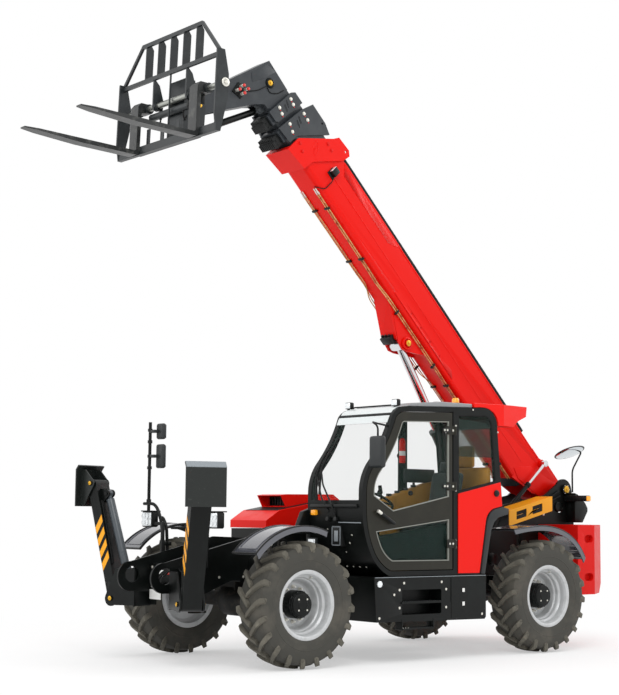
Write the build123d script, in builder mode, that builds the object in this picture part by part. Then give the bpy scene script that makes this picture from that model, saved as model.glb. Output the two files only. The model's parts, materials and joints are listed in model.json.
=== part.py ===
"""Telehandler: four-section boom, fork carriage, offset cab, two front stabilisers.

Millimetres.  +X forward, +Y to the driver's left, +Z up.  The origin lies on the ground,
on the centre plane, halfway between the axles.
"""
import os
from math import atan2, cos, hypot, pi, radians, sin

from build123d import *

os.makedirs("parts", exist_ok=True)

# ---------------------------------------------------------------- driving dimensions
WHEELBASE = 3440
TRACK = 2012

TYRE_R = 618            # to the tips of the lugs
TYRE_W = 392
LUG_H = 36
LUG_COUNT = 20          # on each half of the tread
RIM_R = 305             # bead seat
RIM_LIP_R = 338
RIM_W = 346
HUB_R = 132

KINGPIN_Y = 800

PIVOT_X, PIVOT_Z = -2980, 1820      # boom pivot
BOOM_ANGLE = 45.5
BOOM_W, BOOM_H = 348, 500
BOOM_CORNER = 60                    # radius of the box's two lower corners
BOOM_TOP = 45                       # top of the box above the pivot's line
SECTION_STEP = 22                   # each section is this much smaller all round
SECTION_T = 9

FRAME_Y = 310                       # outer face of a chassis side plate
FRAME_T = 25

CAB_LEFT, CAB_RIGHT = 1170, 300     # outer faces of the cab's two sides
CAB_FLOOR = 875
WALL = 45
GLASS_T = 6

STAB_X, STAB_Y, STAB_Z = 2720, 640, 630
STAB_SPLAY = 18
STAB_LEAN = 75                      # leg above the horizontal when folded
STAB_LENGTH = 1250

GAP = 8                             # running clearance between bodies
FIT = 0.05                          # radial clearance of a pin in its bore

AXLE_X = WHEELBASE / 2
AXLE_Z = TYRE_R
HUB_Y = TRACK / 2

a = radians(BOOM_ANGLE)
BOOM = Plane(origin=(PIVOT_X, 0, PIVOT_Z), x_dir=(cos(a), 0, sin(a)), z_dir=(0, -1, 0))
DOOR_HINGE = (-275, CAB_LEFT + 12)
NECK_U, NECK_V = 6496, -1132        # carriage pivot at the end of the gooseneck
HEAD_U = NECK_U - 994               # lower lip of the outer section's mouth
NECK_PIN_R = 30
TILT_FOOT = (NECK_U - 506, -450)
TILT_EYE = (-30, -260)              # on the carriage, from its pivot
TILT_EYE_W = 60
LIFT_EYE = (2855, -614)
LIFT_R = 92
LIFT_EYE_W = 2 * LIFT_R
COMP_EYE = (415, 16)
COMP_Y = 245
COMP_EYE_W = 44
COMP_FOOT = (-1750, 1300)
BOOM_MID = BOOM_TOP - BOOM_H / 2
BOOM_LOW = BOOM_TOP - BOOM_H
half_w = BOOM_W / 2
LIFT_CLOSED, COMP_CLOSED, TILT_CLOSED = 1850, 950, 640

fork_tilt = radians(2.2)
CARR = Plane(origin=BOOM.from_local_coords((NECK_U, NECK_V, 0)),
             x_dir=(cos(fork_tilt), 0, sin(fork_tilt)), z_dir=(0, -1, 0))
splay, lean = radians(STAB_SPLAY), radians(STAB_LEAN)
OUTWARD = Vector(sin(splay), cos(splay), 0)         # the leg swings in the plane of this and Z
HINGE = (cos(splay), -sin(splay), 0)
STAB = Plane(origin=(STAB_X, STAB_Y, STAB_Z), x_dir=OUTWARD, z_dir=HINGE)
LEG = Plane(origin=STAB.origin, x_dir=OUTWARD * cos(lean) + Vector(0, 0, sin(lean)), z_dir=HINGE)
LEG_W, LEG_D = 200, 114
LEG_PIN_R = 26
BARREL_AT = (STAB_LENGTH - 190, 118)              # the stabiliser cylinder's upper pin, along and across the leg
BARREL_EYE_W, ROD_EYE_W = 50, 50
EYE_PIN_R = 20
CLEVIS_STAB = (-120, 220)           # its lower pin, outward and above the leg's pivot
CLEVIS_AT = (CLEVIS_STAB[0] * cos(lean) + CLEVIS_STAB[1] * sin(lean),
             -CLEVIS_STAB[0] * sin(lean) + CLEVIS_STAB[1] * cos(lean))
PAD_AT = STAB_LENGTH - 50
PAD_OUT = 122
PAD_W = 400
PAD = Plane(origin=LEG.from_local_coords((PAD_AT, 0, 0)), x_dir=OUTWARD, z_dir=HINGE)


def side(y):
    """Upright plane at Y = y: local x is X, local y is Z, extrudes towards -Y."""
    return Plane.XZ.offset(-y)


def across(plane, u, v=0):
    """Plane square to a tilted side plane's x direction, at its point (u, v)."""
    return Plane(origin=plane.from_local_coords((u, v, 0)), x_dir=(0, 1, 0), z_dir=plane.x_dir)


def box_between(low, high, mode=Mode.ADD):
    size = [b - a for a, b in zip(low, high)]
    with Locations(tuple(low)):
        Box(*size, align=(Align.MIN, Align.MIN, Align.MIN), mode=mode)


def save(builder, label):
    builder.part.label = label
    export_step(builder.part, f"parts/{label}.step")


def save_pair(builder, left, right):
    save(builder, left)
    twin = mirror(builder.part, about=Plane.XZ)
    twin.label = right
    export_step(twin, f"parts/{right}.step")

# ---------------------------------------------------------------- wheels
CARCASS_R = TYRE_R - LUG_H
SHOULDER_Y = TYRE_W / 2 - 14
BEAD_Y = RIM_W / 2 - 16
TYRE_T = 26

TYRE_SIDES = LUG_COUNT


def faceted_ring(profile, sides):
    """Closed ring about X from a loop of (x, radius) points, flat between its corners."""
    faces = []
    for k in range(sides):
        start, end = (2 * pi * (k + i) / sides for i in (0, 1))
        for (x0, r0), (x1, r1) in zip(profile, profile[1:] + profile[:1]):
            faces.append(Face(Wire.make_polygon([
                (x0, r0 * cos(start), r0 * sin(start)), (x1, r1 * cos(start), r1 * sin(start)),
                (x1, r1 * cos(end), r1 * sin(end)), (x0, r0 * cos(end), r0 * sin(end))])))
    return Solid(Shell(faces))


BORE_R = (RIM_R + FIT) / cos(pi / TYRE_SIDES)       # its flats rest on the bead seat
tyre = faceted_ring([(3 - BEAD_Y, BORE_R), (8 - TYRE_W / 2, 450), (-SHOULDER_Y, CARCASS_R - 12),
                     (SHOULDER_Y, CARCASS_R - 12), (TYRE_W / 2 - 8, 450), (BEAD_Y - 3, BORE_R),
                     (BEAD_Y - TYRE_T, BORE_R), (SHOULDER_Y - 2 * TYRE_T, CARCASS_R - 2 * TYRE_T),
                     (2 * TYRE_T - SHOULDER_Y, CARCASS_R - 2 * TYRE_T), (TYRE_T - BEAD_Y, BORE_R)], TYRE_SIDES)

# One lug: a slanting bar from the centre line out and down over the shoulder.
LUG_T = 46
LUG_REACH = 84                      # along the tread, each way from the lug's middle
LUG_TOP = (TYRE_R ** 2 - LUG_REACH ** 2) ** 0.5
with BuildPart() as lug:
    with BuildSketch(Plane.XY.offset(CARCASS_R - 90)):
        with BuildLine():
            Polyline((-12, -LUG_REACH), (TYRE_W / 2, LUG_REACH - LUG_T), (TYRE_W / 2, LUG_REACH),
                     (-12, LUG_T - LUG_REACH), close=True)
        make_face()
    extrude(amount=LUG_H + 100)
    with BuildSketch(side(200)):
        with BuildLine():
            Polyline((-13, CARCASS_R - 46), (-13, LUG_TOP), (TYRE_W / 2 - 8, LUG_TOP - 12),
                     (TYRE_W / 2, CARCASS_R - 50), (SHOULDER_Y - 32, CARCASS_R - 46), close=True)
        make_face()
    extrude(amount=400, mode=Mode.INTERSECT)

with BuildPart() as tyre_tread:
    add(tyre)
    for turn in range(LUG_COUNT):
        step = 360 / LUG_COUNT
        add(lug.part.rotate(Axis.X, turn * step))
        add(mirror(lug.part, about=Plane.YZ).rotate(Axis.X, (turn + 0.5) * step))

# The wheel: rim barrel, stepped dish and disc, and the planetary hub that turns with it.
# Outboard is +X here.
RIM_T = 12
DISC_X = -62
HUB_IN = -152
HUB_OUT = 112
SPINDLE_R, SPINDLE_L = 40, 60
with BuildPart() as wheel:
    with BuildSketch(Plane.XY):
        with BuildLine():
            half = RIM_W / 2
            Polyline((half, RIM_LIP_R), (half - 10, RIM_LIP_R), (half - 14, RIM_R), (70, RIM_R - 4),
                     (40, RIM_R - 42), (-70, RIM_R - 42), (-90, RIM_R - 4), (14 - half, RIM_R),
                     (10 - half, RIM_LIP_R), (-half, RIM_LIP_R), (-half, RIM_R - RIM_T),
                     (-96, RIM_R - RIM_T - 6), (DISC_X - 14, RIM_R - 42 - RIM_T), (DISC_X - 14, 100),
                     (HUB_IN, 100), (HUB_IN, SPINDLE_R + FIT), (HUB_IN + SPINDLE_L + 5, SPINDLE_R + FIT),
                     (HUB_IN + SPINDLE_L + 5, 0), (HUB_OUT, 0), (HUB_OUT, 56), (98, 62), (98, 104),
                     (84, 112), (60, HUB_R), (DISC_X, HUB_R), (DISC_X, 205), (DISC_X + 26, 240),
                     (34, RIM_R - 46 - RIM_T), (66, RIM_R - RIM_T - 8), (half, RIM_R - RIM_T), close=True)
        make_face()
    revolve(axis=Axis.X)

ends = (("f", AXLE_X), ("r", -AXLE_X))
for tag, x in ends:
    for source, name in ((tyre_tread, "tyre"), (wheel, "wheel")):
        piece = source.part.rotate(Axis.Z, 90).translate((x, HUB_Y, AXLE_Z))
        piece.label = f"{name}_{tag}l"
        export_step(piece, f"parts/{piece.label}.step")
        twin = mirror(piece, about=Plane.XZ)
        twin.label = f"{name}_{tag}r"
        export_step(twin, f"parts/{twin.label}.step")

# ---------------------------------------------------------------- axles, knuckles, fenders
YOKE_Z = 120            # inner face of a yoke arm above and below the axle's line
YOKE_T = 30
TRUNNION_R = 47
PIN_R = 28
with BuildPart() as axles:
    with BuildSketch(Plane.XY):
        with BuildLine():
            Polyline((0, 0), (0, 165), (90, 165), (150, 120), (290, 78), (670, 70), (670, 0), close=True)
        make_face()
    revolve(axis=Axis.X)
    mirror(about=Plane.YZ)
    with BuildSketch(Plane.XY.offset(-YOKE_Z - YOKE_T)):
        with Locations((KINGPIN_Y - 105, 0)):
            Rectangle(70, 150)
        mirror(about=Plane.YZ)
    extrude(amount=2 * (YOKE_Z + YOKE_T))
    with BuildSketch(Plane.XY.offset(YOKE_Z)) as yoke_arm:
        with Locations((KINGPIN_Y - 50, 0)):
            Rectangle(100, 130)
        with Locations((KINGPIN_Y, 0)):
            Circle(65)
        mirror(about=Plane.YZ)
    extrude(amount=YOKE_T)
    mirror(about=Plane.XY)
    with Locations((KINGPIN_Y, 0), (-KINGPIN_Y, 0)):
        Hole(PIN_R + FIT, depth=400)
    with BuildSketch(Plane.XY.offset(100)):
        Rectangle(260, 200)
    extrude(amount=90)
    with BuildSketch(Plane.YZ.offset(-520)):
        with Locations((130, 0)):
            Circle(38)
    extrude(amount=1040)

with BuildPart() as axle_pair:
    for _, x in ends:
        add(axles.part.rotate(Axis.Z, 90 if x > 0 else -90).translate((x, 0, AXLE_Z)))
save(axle_pair, "axles")

FENDER_TOP = 762        # above the axle's line
FENDER_T = 14
FENDER_IN, FENDER_OUT = 818, 1200
POST_Y = 745
with BuildPart() as knuckle:
    with BuildSketch(Plane.XY.offset(-YOKE_Z + GAP)):
        with Locations((0, KINGPIN_Y)):
            Circle(TRUNNION_R)
    extrude(amount=2 * (YOKE_Z - GAP))
    with BuildSketch(side(HUB_Y + HUB_IN + SPINDLE_L)):
        Circle(SPINDLE_R)
    extrude(amount=HUB_Y + HUB_IN + SPINDLE_L - KINGPIN_Y)
    with BuildSketch(Plane.XY.offset(-YOKE_Z - 45)):
        with Locations((0, KINGPIN_Y)):
            Circle(PIN_R)
    extrude(amount=2 * YOKE_Z + 90)
    with BuildSketch(Plane.XY.offset(YOKE_Z + 45)):
        with Locations((0, (POST_Y + KINGPIN_Y) / 2)):
            RectangleRounded(90, KINGPIN_Y - POST_Y + 60, 20)
    extrude(amount=22)
    with BuildSketch(Plane.XY.offset(YOKE_Z + 45)):
        with Locations((0, POST_Y)):
            Rectangle(60, 34)
    extrude(amount=FENDER_TOP - YOKE_Z - 45 - 40)
    with BuildSketch(Plane.XY.offset(FENDER_TOP - 64)):
        with Locations((0, (POST_Y + FENDER_OUT - 60) / 2)):
            Rectangle(60, FENDER_OUT - 60 - POST_Y + 34)
    extrude(amount=24)
    # steering arm under the lower yoke
    with BuildSketch(Plane.XY.offset(-YOKE_Z - 45 - 22)):
        with Locations((-80, KINGPIN_Y - 10)):
            RectangleRounded(220, 70, 30)
    extrude(amount=22)

# Fender profiles from the cab's end to the outer end; x counts towards the cab.
FENDERS = {"f": ((230, 705), (0, FENDER_TOP - 4), (-380, 690), (-640, 500)),
           "r": ((570, 730), (0, FENDER_TOP + 2), (-330, 675), (-600, 410))}


for tag, x in ends:
    with BuildPart() as fender:
        for inner, outer, depth in ((FENDER_IN, FENDER_OUT, FENDER_T), (FENDER_OUT - FENDER_T, FENDER_OUT, 52)):
            with BuildSketch(side(outer)) as edge:
                with BuildLine():
                    top = Spline(*FENDERS[tag])
                    under = Spline(*[(u * (1 - depth / 1000), v - depth) for u, v in FENDERS[tag]])
                    Line(top @ 0, under @ 0)
                    Line(top @ 1, under @ 1)
                make_face()
            extrude(edge.sketch, amount=outer - inner)
        with Locations((0, (FENDER_IN + FENDER_OUT) / 2, FENDER_TOP - 26)):
            Box(60, 300, 28)
    towards = -1 if x > 0 else 1
    for source, name in ((knuckle.part, "knuckle"), (fender.part, "fender")):
        piece = source if name == "knuckle" or towards > 0 else mirror(source, about=Plane.YZ)
        piece = piece.translate((x, 0, AXLE_Z))
        piece.label = f"{name}_{tag}l"
        export_step(piece, f"parts/{piece.label}.step")
        twin = mirror(piece, about=Plane.XZ)
        twin.label = f"{name}_{tag}r"
        export_step(twin, f"parts/{twin.label}.step")

# ---------------------------------------------------------------- chassis
LIFT_FOOT = (-2050, 1000)           # the lift cylinder's lower pin
with BuildPart() as frame_plates:
    with BuildSketch(side(FRAME_Y)) as plate:
        with BuildLine():
            nose = ThreePointArc((2800, 1010), (2955, 870), (2790, 715))
            Polyline(nose @ 1, (2350, 690), (1990, 830), (1450, 830), (1230, 430), (-1230, 430),
                     (-1450, 830), (-1990, 830), (-2250, 640), (-2900, 640), (-3140, 900),
                     (-3140, 1600), (-3100, 1830))
            top = ThreePointArc((-3100, 1830), (-2975, 1945), (-2840, 1880))
            Polyline(top @ 1, (-2620, 1745), (-1895, 1620), (-1700, 1250), (-1060, CAB_FLOOR - GAP),
                     (1150, CAB_FLOOR - GAP), (1290, 1235), (1800, 1255), nose @ 0)
        make_face()
        with Locations((2790, 880)):
            Circle(80, mode=Mode.SUBTRACT)
        with Locations((-2890, 1600)):
            Circle(60, mode=Mode.SUBTRACT)
    extrude(amount=FRAME_T)
    # boom pivot boss and the compensating cylinder's foot pin
    with BuildSketch(side(FRAME_Y + 30)):
        with Locations((PIVOT_X, PIVOT_Z)):
            Circle(62)
    extrude(amount=30)
    mirror(about=Plane.XZ)
    with BuildSketch(side(FRAME_Y)):
        with Locations(COMP_FOOT):
            Circle(22)
    extrude(amount=FRAME_Y - COMP_Y + 30)
save(frame_plates, "frame_plates")

with BuildPart() as frame_cross:
    inner = 2 * (FRAME_Y - FRAME_T)
    # cross plates: (x, thickness, bottom, top)
    for x, t, bottom, top_z in ((2560, 30, 720, 990), (1120, 20, 450, 900), (-1120, 20, 450, 840),
                                (-3120, 20, 660, 1420), (-2300, 20, 660, 860)):
        with Locations((x, 0, (bottom + top_z) / 2)):
            Box(t, inner, top_z - bottom)
    # floor plates: (x from, x to, z)
    for x0, x1, z in ((-1130, 1130, 450), (-3120, -2290, 670), (1440, 2570, 860), (-1990, -1450, 830)):
        with Locations(((x0 + x1) / 2, 0, z)):
            Box(x1 - x0, inner, 20)
    # lift cylinder's foot: a boss on each side plate
    for s in (1, -1):
        with BuildSketch(side(s * (FRAME_Y - FRAME_T)) if s > 0 else side(-LIFT_R - 2 * GAP)):
            with Locations(LIFT_FOOT):
                Circle(75)
        extrude(amount=FRAME_Y - FRAME_T - LIFT_R - 2 * GAP)
    # axle saddles
    for x in (AXLE_X, -AXLE_X):
        with Locations((x, 0, AXLE_Z + 190 + 16)):
            Box(300, inner, 32)
save(frame_cross, "frame_cross")

# stabiliser brackets: two cheeks round the leg's foot, a web, and the cylinder's clevis
with BuildPart() as stab_brackets:
    for n0, n1, outline in ((LEG_W / 2 + GAP, LEG_W / 2 + GAP + 20, "cheek"),
                            (-LEG_W / 2 - GAP - 20, -LEG_W / 2 - GAP, "cheek"),
                            (ROD_EYE_W / 2 + GAP, ROD_EYE_W / 2 + GAP + 16, "clevis"),
                            (-ROD_EYE_W / 2 - GAP - 16, -ROD_EYE_W / 2 - GAP, "clevis")):
        with BuildSketch(STAB.offset(n0)):
            if outline == "cheek":
                with BuildLine():
                    Polyline((-390, 300), (-60, 300), (70, 20))
                    ThreePointArc((70, 20), (30, -72), (-40, -68))
                    Polyline((-40, -68), (-390, -60), (-390, 300))
                make_face()
                Circle(LEG_PIN_R + FIT, mode=Mode.SUBTRACT)
            else:
                with BuildLine():
                    Polyline((-300, 330), (-130, 285))
                    ThreePointArc((-130, 285), (-58, 240), (-90, 165))
                    Polyline((-90, 165), (-300, 100), (-300, 330))
                make_face()
        extrude(amount=n1 - n0)
        mirror(about=Plane.XZ)
    with BuildSketch(STAB.offset(-LEG_W / 2 - GAP - 20)):
        with Locations((-300, 130)):
            Rectangle(24, 400)
    extrude(amount=LEG_W + 2 * GAP + 40)
    mirror(about=Plane.XZ)
    box_between((2000, -FRAME_Y, 500), (3200, FRAME_Y, 1200), mode=Mode.SUBTRACT)
save(stab_brackets, "stab_brackets")

# ---------------------------------------------------------------- stabilisers
with BuildPart() as leg:
    with BuildSketch(LEG.offset(-LEG_W / 2)):
        with BuildLine():
            ThreePointArc((30, -LEG_D / 2), (-70, 0), (30, LEG_D / 2))
            Line((30, LEG_D / 2), (STAB_LENGTH - 70, LEG_D / 2))
            ThreePointArc((STAB_LENGTH - 70, LEG_D / 2), (STAB_LENGTH - 12, 0), (STAB_LENGTH - 70, -LEG_D / 2))
            Line((STAB_LENGTH - 70, -LEG_D / 2), (30, -LEG_D / 2))
        make_face()
    extrude(amount=LEG_W)
    for n0 in (BARREL_EYE_W / 2 + GAP, -BARREL_EYE_W / 2 - GAP - 16):
        with BuildSketch(LEG.offset(n0)):
            with BuildLine():
                Polyline((BARREL_AT[0] - 90, LEG_D / 2 - 5), (BARREL_AT[0] - 40, BARREL_AT[1] + 10))
                ThreePointArc((BARREL_AT[0] - 40, BARREL_AT[1] + 10), (BARREL_AT[0], BARREL_AT[1] + 42),
                              (BARREL_AT[0] + 40, BARREL_AT[1] + 10))
                Polyline((BARREL_AT[0] + 40, BARREL_AT[1] + 10), (BARREL_AT[0] + 70, LEG_D / 2 - 5),
                         (BARREL_AT[0] - 90, LEG_D / 2 - 5))
            make_face()
        extrude(amount=16)
    with BuildSketch(LEG.offset(-BARREL_EYE_W / 2 - GAP - 26)):
        with Locations(BARREL_AT):
            Circle(EYE_PIN_R)
    extrude(amount=BARREL_EYE_W + 2 * GAP + 52)
    # pins: at the foot, seen outside the cheeks, and at the head through the pad's cheeks
    for x, half, r in ((0, LEG_W / 2 + GAP + 32, LEG_PIN_R), (PAD_AT, LEG_W / 2 + GAP + 26, 24)):
        with BuildSketch(LEG.offset(-half)):
            with Locations((x, 0)):
                Circle(r)
        extrude(amount=2 * half)
save_pair(leg, "leg_left", "leg_right")

with BuildPart() as pad:
    for n0 in (LEG_W / 2 + GAP, -LEG_W / 2 - GAP - 14):
        with BuildSketch(PAD.offset(n0)):
            with BuildLine():
                Polyline((PAD_OUT, 140), (PAD_OUT, -225), (PAD_OUT - 40, -225), (-38, -30))
                ThreePointArc((-38, -30), (-48, 8), (-20, 44))
                Polyline((-20, 44), (PAD_OUT - 50, 140), (PAD_OUT, 140))
            make_face()
            Circle(24 + FIT, mode=Mode.SUBTRACT)
        extrude(amount=14)
    with BuildSketch(PAD.offset(-PAD_W / 2)):
        with BuildLine():
            Polyline((PAD_OUT, -238), (PAD_OUT + 14, -238), (PAD_OUT + 14, 140), (PAD_OUT - 20, 186),
                     (PAD_OUT - 34, 178), (PAD_OUT, 133), close=True)
        make_face()
    extrude(amount=PAD_W)
save_pair(pad, "pad_left", "pad_right")


def cylinder_parts(plane, base, tip, bore_r, rod_r, base_eye, tip_eye, closed):
    """Barrel and rod between two pins of a side plane; eyes are (radius, width, pin radius).

    An eye with a pin radius turns on its pin.  One with none is plugged by a pin of its own.
    """
    angle = atan2(tip[1] - base[1], tip[0] - base[0])
    reach = hypot(tip[0] - base[0], tip[1] - base[1])
    along = Plane(origin=plane.from_local_coords((*base, 0)),
                  x_dir=(plane.x_dir * cos(angle) + plane.y_dir * sin(angle)).normalized(),
                  z_dir=plane.z_dir)
    barrel_end = closed - tip_eye[0] - 30
    with BuildPart() as barrel:
        with BuildSketch(along.offset(-base_eye[1] / 2)):
            Circle(base_eye[0])
        extrude(amount=base_eye[1])
        with BuildSketch(along):
            with BuildLine():
                neck = min(bore_r, base_eye[1] / 2 - 2)
                Polyline((base_eye[0] * 0.6, 0), (base_eye[0] * 0.6, neck), (base_eye[0] + 10, neck),
                         (base_eye[0] + 24, bore_r), (barrel_end - 40, bore_r), (barrel_end - 40, bore_r + 8),
                         (barrel_end, bore_r + 8), (barrel_end, rod_r + FIT), (base_eye[0] + 36, rod_r + FIT),
                         (base_eye[0] + 36, 0), close=True)
            make_face()
        revolve(axis=Axis(along.origin, along.x_dir))
        if base_eye[2]:
            with BuildSketch(along.offset(-base_eye[1] / 2)):
                Circle(base_eye[2] + FIT)
            extrude(amount=base_eye[1], mode=Mode.SUBTRACT)
    with BuildPart() as rod:
        with BuildSketch(along):
            with BuildLine():
                Polyline((base_eye[0] + 41 + reach - closed, 0), (base_eye[0] + 41 + reach - closed, rod_r),
                         (reach - tip_eye[0] * 0.6, rod_r), (reach - tip_eye[0] * 0.6, 0), close=True)
            make_face()
        revolve(axis=Axis(along.origin, along.x_dir))
        with BuildSketch(along.offset(-tip_eye[1] / 2)):
            with Locations((reach, 0)):
                Circle(tip_eye[0])
        extrude(amount=tip_eye[1])
        if tip_eye[2]:
            with BuildSketch(along.offset(-tip_eye[1] / 2)):
                with Locations((reach, 0)):
                    Circle(tip_eye[2] + FIT)
            extrude(amount=tip_eye[1], mode=Mode.SUBTRACT)
    return barrel, rod


barrel, rod = cylinder_parts(LEG, BARREL_AT, CLEVIS_AT, 42, 24, (38, BARREL_EYE_W, EYE_PIN_R),
                             (36, ROD_EYE_W, 0), hypot(BARREL_AT[0] - CLEVIS_AT[0], BARREL_AT[1] - CLEVIS_AT[1]))
save_pair(barrel, "leg_barrel_left", "leg_barrel_right")
save_pair(rod, "leg_rod_left", "leg_rod_right")

# ---------------------------------------------------------------- boom
def u_shape(inset):
    """Cross-section of the boom's box, drawn in by an inset: tight corners above, round ones below."""
    half, top, low = half_w - inset, BOOM_H / 2 - inset, inset - BOOM_H / 2
    r, R = 12, BOOM_CORNER - inset / 2
    with BuildSketch(mode=Mode.PRIVATE) as shape:
        with BuildLine():
            Line((-half, low + R), (-half, top - r))
            RadiusArc((-half, top - r), (r - half, top), r)
            Line((r - half, top), (half - r, top))
            RadiusArc((half - r, top), (half, top - r), r)
            Line((half, top - r), (half, low + R))
            RadiusArc((half, low + R), (half - R, low), R)
            Line((half - R, low), (R - half, low))
            RadiusArc((R - half, low), (-half, low + R), R)
        make_face()
    return shape.sketch


def box_section(inset, t, u0, u1):
    """Tube of one boom section, between two stations along the boom."""
    place = across(BOOM, u0, BOOM_MID)
    extrude(place * u_shape(inset), amount=u1 - u0)
    extrude(place * u_shape(inset + t), amount=u1 - u0, mode=Mode.SUBTRACT)


def headward(*points):
    """Points of the boom given from the outer section's lip."""
    return [(u + HEAD_U, *rest) for u, *rest in points]


def plates(plane, outline, y, t, holes=()):
    """A pair of side plates, mirrored about the centre plane, each from y to y + t outward."""
    for offset in (-y - t, y):
        with BuildSketch(plane.offset(offset)) as plate:
            with BuildLine():
                Polyline(*outline, close=True)
            make_face()
            for u, v, r in holes:
                with Locations((u, v)):
                    Circle(r, mode=Mode.SUBTRACT)
        extrude(plate.sketch, amount=t)



with BuildPart() as boom_outer:
    with BuildSketch(BOOM.offset(-half_w)):
        with BuildLine():
            heel = ThreePointArc((-60, 104), (-104, -60), (-40, -125))
            Polyline(heel @ 1, (260, -340), (640, BOOM_LOW), (HEAD_U - 82, BOOM_LOW), (HEAD_U - 312, BOOM_TOP),
                     (480, BOOM_TOP), (330, 104), heel @ 0)
        make_face()
    extrude(amount=BOOM_W)
    # the box proper has round lower corners and an open bore
    with BuildSketch(across(BOOM, 640, BOOM_MID)):
        Rectangle(BOOM_W + 2, BOOM_H + 2)
        add(u_shape(0), mode=Mode.SUBTRACT)
    extrude(amount=HEAD_U - 640, mode=Mode.SUBTRACT)
    extrude(across(BOOM, -300, BOOM_MID) * u_shape(SECTION_T), amount=HEAD_U + 1000, mode=Mode.SUBTRACT)
    with BuildSketch(BOOM.offset(-half_w)):
        Circle(104)
    extrude(amount=BOOM_W)
    with BuildSketch(BOOM.offset(-FRAME_Y + FRAME_T + GAP)):
        Circle(80)
    extrude(amount=2 * (FRAME_Y - FRAME_T - GAP))
    with BuildSketch(BOOM.offset(-FRAME_Y - 40)):
        Circle(44 + FIT)
    extrude(amount=2 * FRAME_Y + 80, mode=Mode.SUBTRACT)
    # head plates round the mouth
    plates(BOOM, headward((0, -530), (0, -325), (-288, 70), (-328, 150), (-516, 166), (-569, 126), (-552, 20),
                          (-307, -338), (-287, -492)), half_w, 22, headward((-502, 120, 16)))
    with BuildSketch(BOOM.offset(-half_w)):
        with BuildLine():
            Polyline(*headward((-287, BOOM_LOW), (-287, -492), (0, -530), (0, BOOM_LOW - 10), (-82, BOOM_LOW)),
                     close=True)
        make_face()
    extrude(amount=BOOM_W)
    # doubler beside the lift bracket, with four plug welds, and a stiffening strip under the top edge
    plates(BOOM, ((2130, -395), (2210, -330), (3330, -330), (3420, -380), (3420, BOOM_LOW + BOOM_CORNER),
                  (2130, BOOM_LOW + BOOM_CORNER)), half_w, 8, [(u, -362, 13) for u in (2450, 2660, 2870, 3080)])
    plates(BOOM, ((3700, 40), (3880, -75), (HEAD_U - 690, -75), (HEAD_U - 590, 40)), half_w, 4)
    # lift cylinder's bracket
    plates(BOOM, ((3380, BOOM_LOW + 4), (2960, -690), (2850, -706), (2775, -665), (2520, BOOM_LOW + 4)),
           LIFT_EYE_W / 2 + GAP, 24)
    with BuildSketch(BOOM.offset(-LIFT_EYE_W / 2 - GAP - 24)):
        with BuildLine():
            Polyline((3380, BOOM_LOW + 4), (2975, -690), (3002, -690), (3425, BOOM_LOW + 4), close=True)
        make_face()
    extrude(amount=LIFT_EYE_W + 2 * GAP + 48)
    with BuildSketch(BOOM.offset(-LIFT_EYE_W / 2 - GAP - 60)):
        with Locations(LIFT_EYE):
            Circle(40)
    extrude(amount=LIFT_EYE_W + 2 * GAP + 120)
    # compensating cylinder's boss on the left side
    with BuildSketch(BOOM.offset(-half_w - 30)):
        with Locations(COMP_EYE):
            Circle(48)
    extrude(amount=30)
save(boom_outer, "boom_outer")

SECTIONS = (
    # name, inset, tail, mouth
    ("boom_second", SECTION_STEP, 470, HEAD_U + 138),
    ("boom_third", 2 * SECTION_STEP, 540, HEAD_U + 358),
    ("boom_fourth", 3 * SECTION_STEP, 610, HEAD_U + 558),
)
for label, inset, tail, mouth in SECTIONS:
    with BuildPart() as section:
        box_section(inset, SECTION_T, tail, mouth)
        w = half_w - inset
        low, top = BOOM_LOW + inset, BOOM_TOP - inset
        if label == "boom_second":
            plates(BOOM, headward((229, -462), (196, -61), (148, 109), (-102, 109), (-232, 70), (23, -311),
                                  (28, -444)), w - 4, 32, headward((-82, 70, 14)))
            with Locations(across(BOOM, HEAD_U + 68, low - 26)):
                Box(2 * w, 60, 140, align=(Align.CENTER, Align.CENTER, Align.MIN))
        elif label == "boom_third":
            plates(BOOM, headward((425, -430), (408, -33), (378, 14), (238, 14), (273, -399), (298, -430)), w - 4, 32)
            with Locations(across(BOOM, HEAD_U + 278, low - 26)):
                Box(2 * w, 60, 120, align=(Align.CENTER, Align.CENTER, Align.MIN))
        else:
            plates(BOOM, headward((448, top), (806, -17), (1089, -1108), (1068, -1190), (1019, -1227),
                                  (948, -1220), (906, -1175), (801, -936), (589, -508), (510, low), (448, low)),
                   w - 16, 16, ((NECK_U, NECK_V, NECK_PIN_R + FIT),))
            with BuildSketch(BOOM.offset(-w)):
                with BuildLine():
                    Polyline(*headward((448, top - 12), (794, -30), (1058, -1050), (1080, -1050), (818, -8),
                                       (448, top)), close=True)
                make_face()
                with BuildLine():
                    Polyline(*headward((508, low), (589, -508), (748, -829), (760, -822), (602, -502),
                                       (528, low + 10)), close=True)
                make_face()
            extrude(amount=2 * w)
            plates(BOOM, headward((438, low), (448, -470), (488, -495), (528, -470), (578, -490), (528, low)),
                   TILT_EYE_W / 2 + GAP, 16)
            with BuildSketch(BOOM.offset(-TILT_EYE_W / 2 - GAP - 24)):
                with Locations(TILT_FOOT):
                    Circle(22)
            extrude(amount=TILT_EYE_W + 2 * GAP + 48)
    save(section, label)

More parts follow.
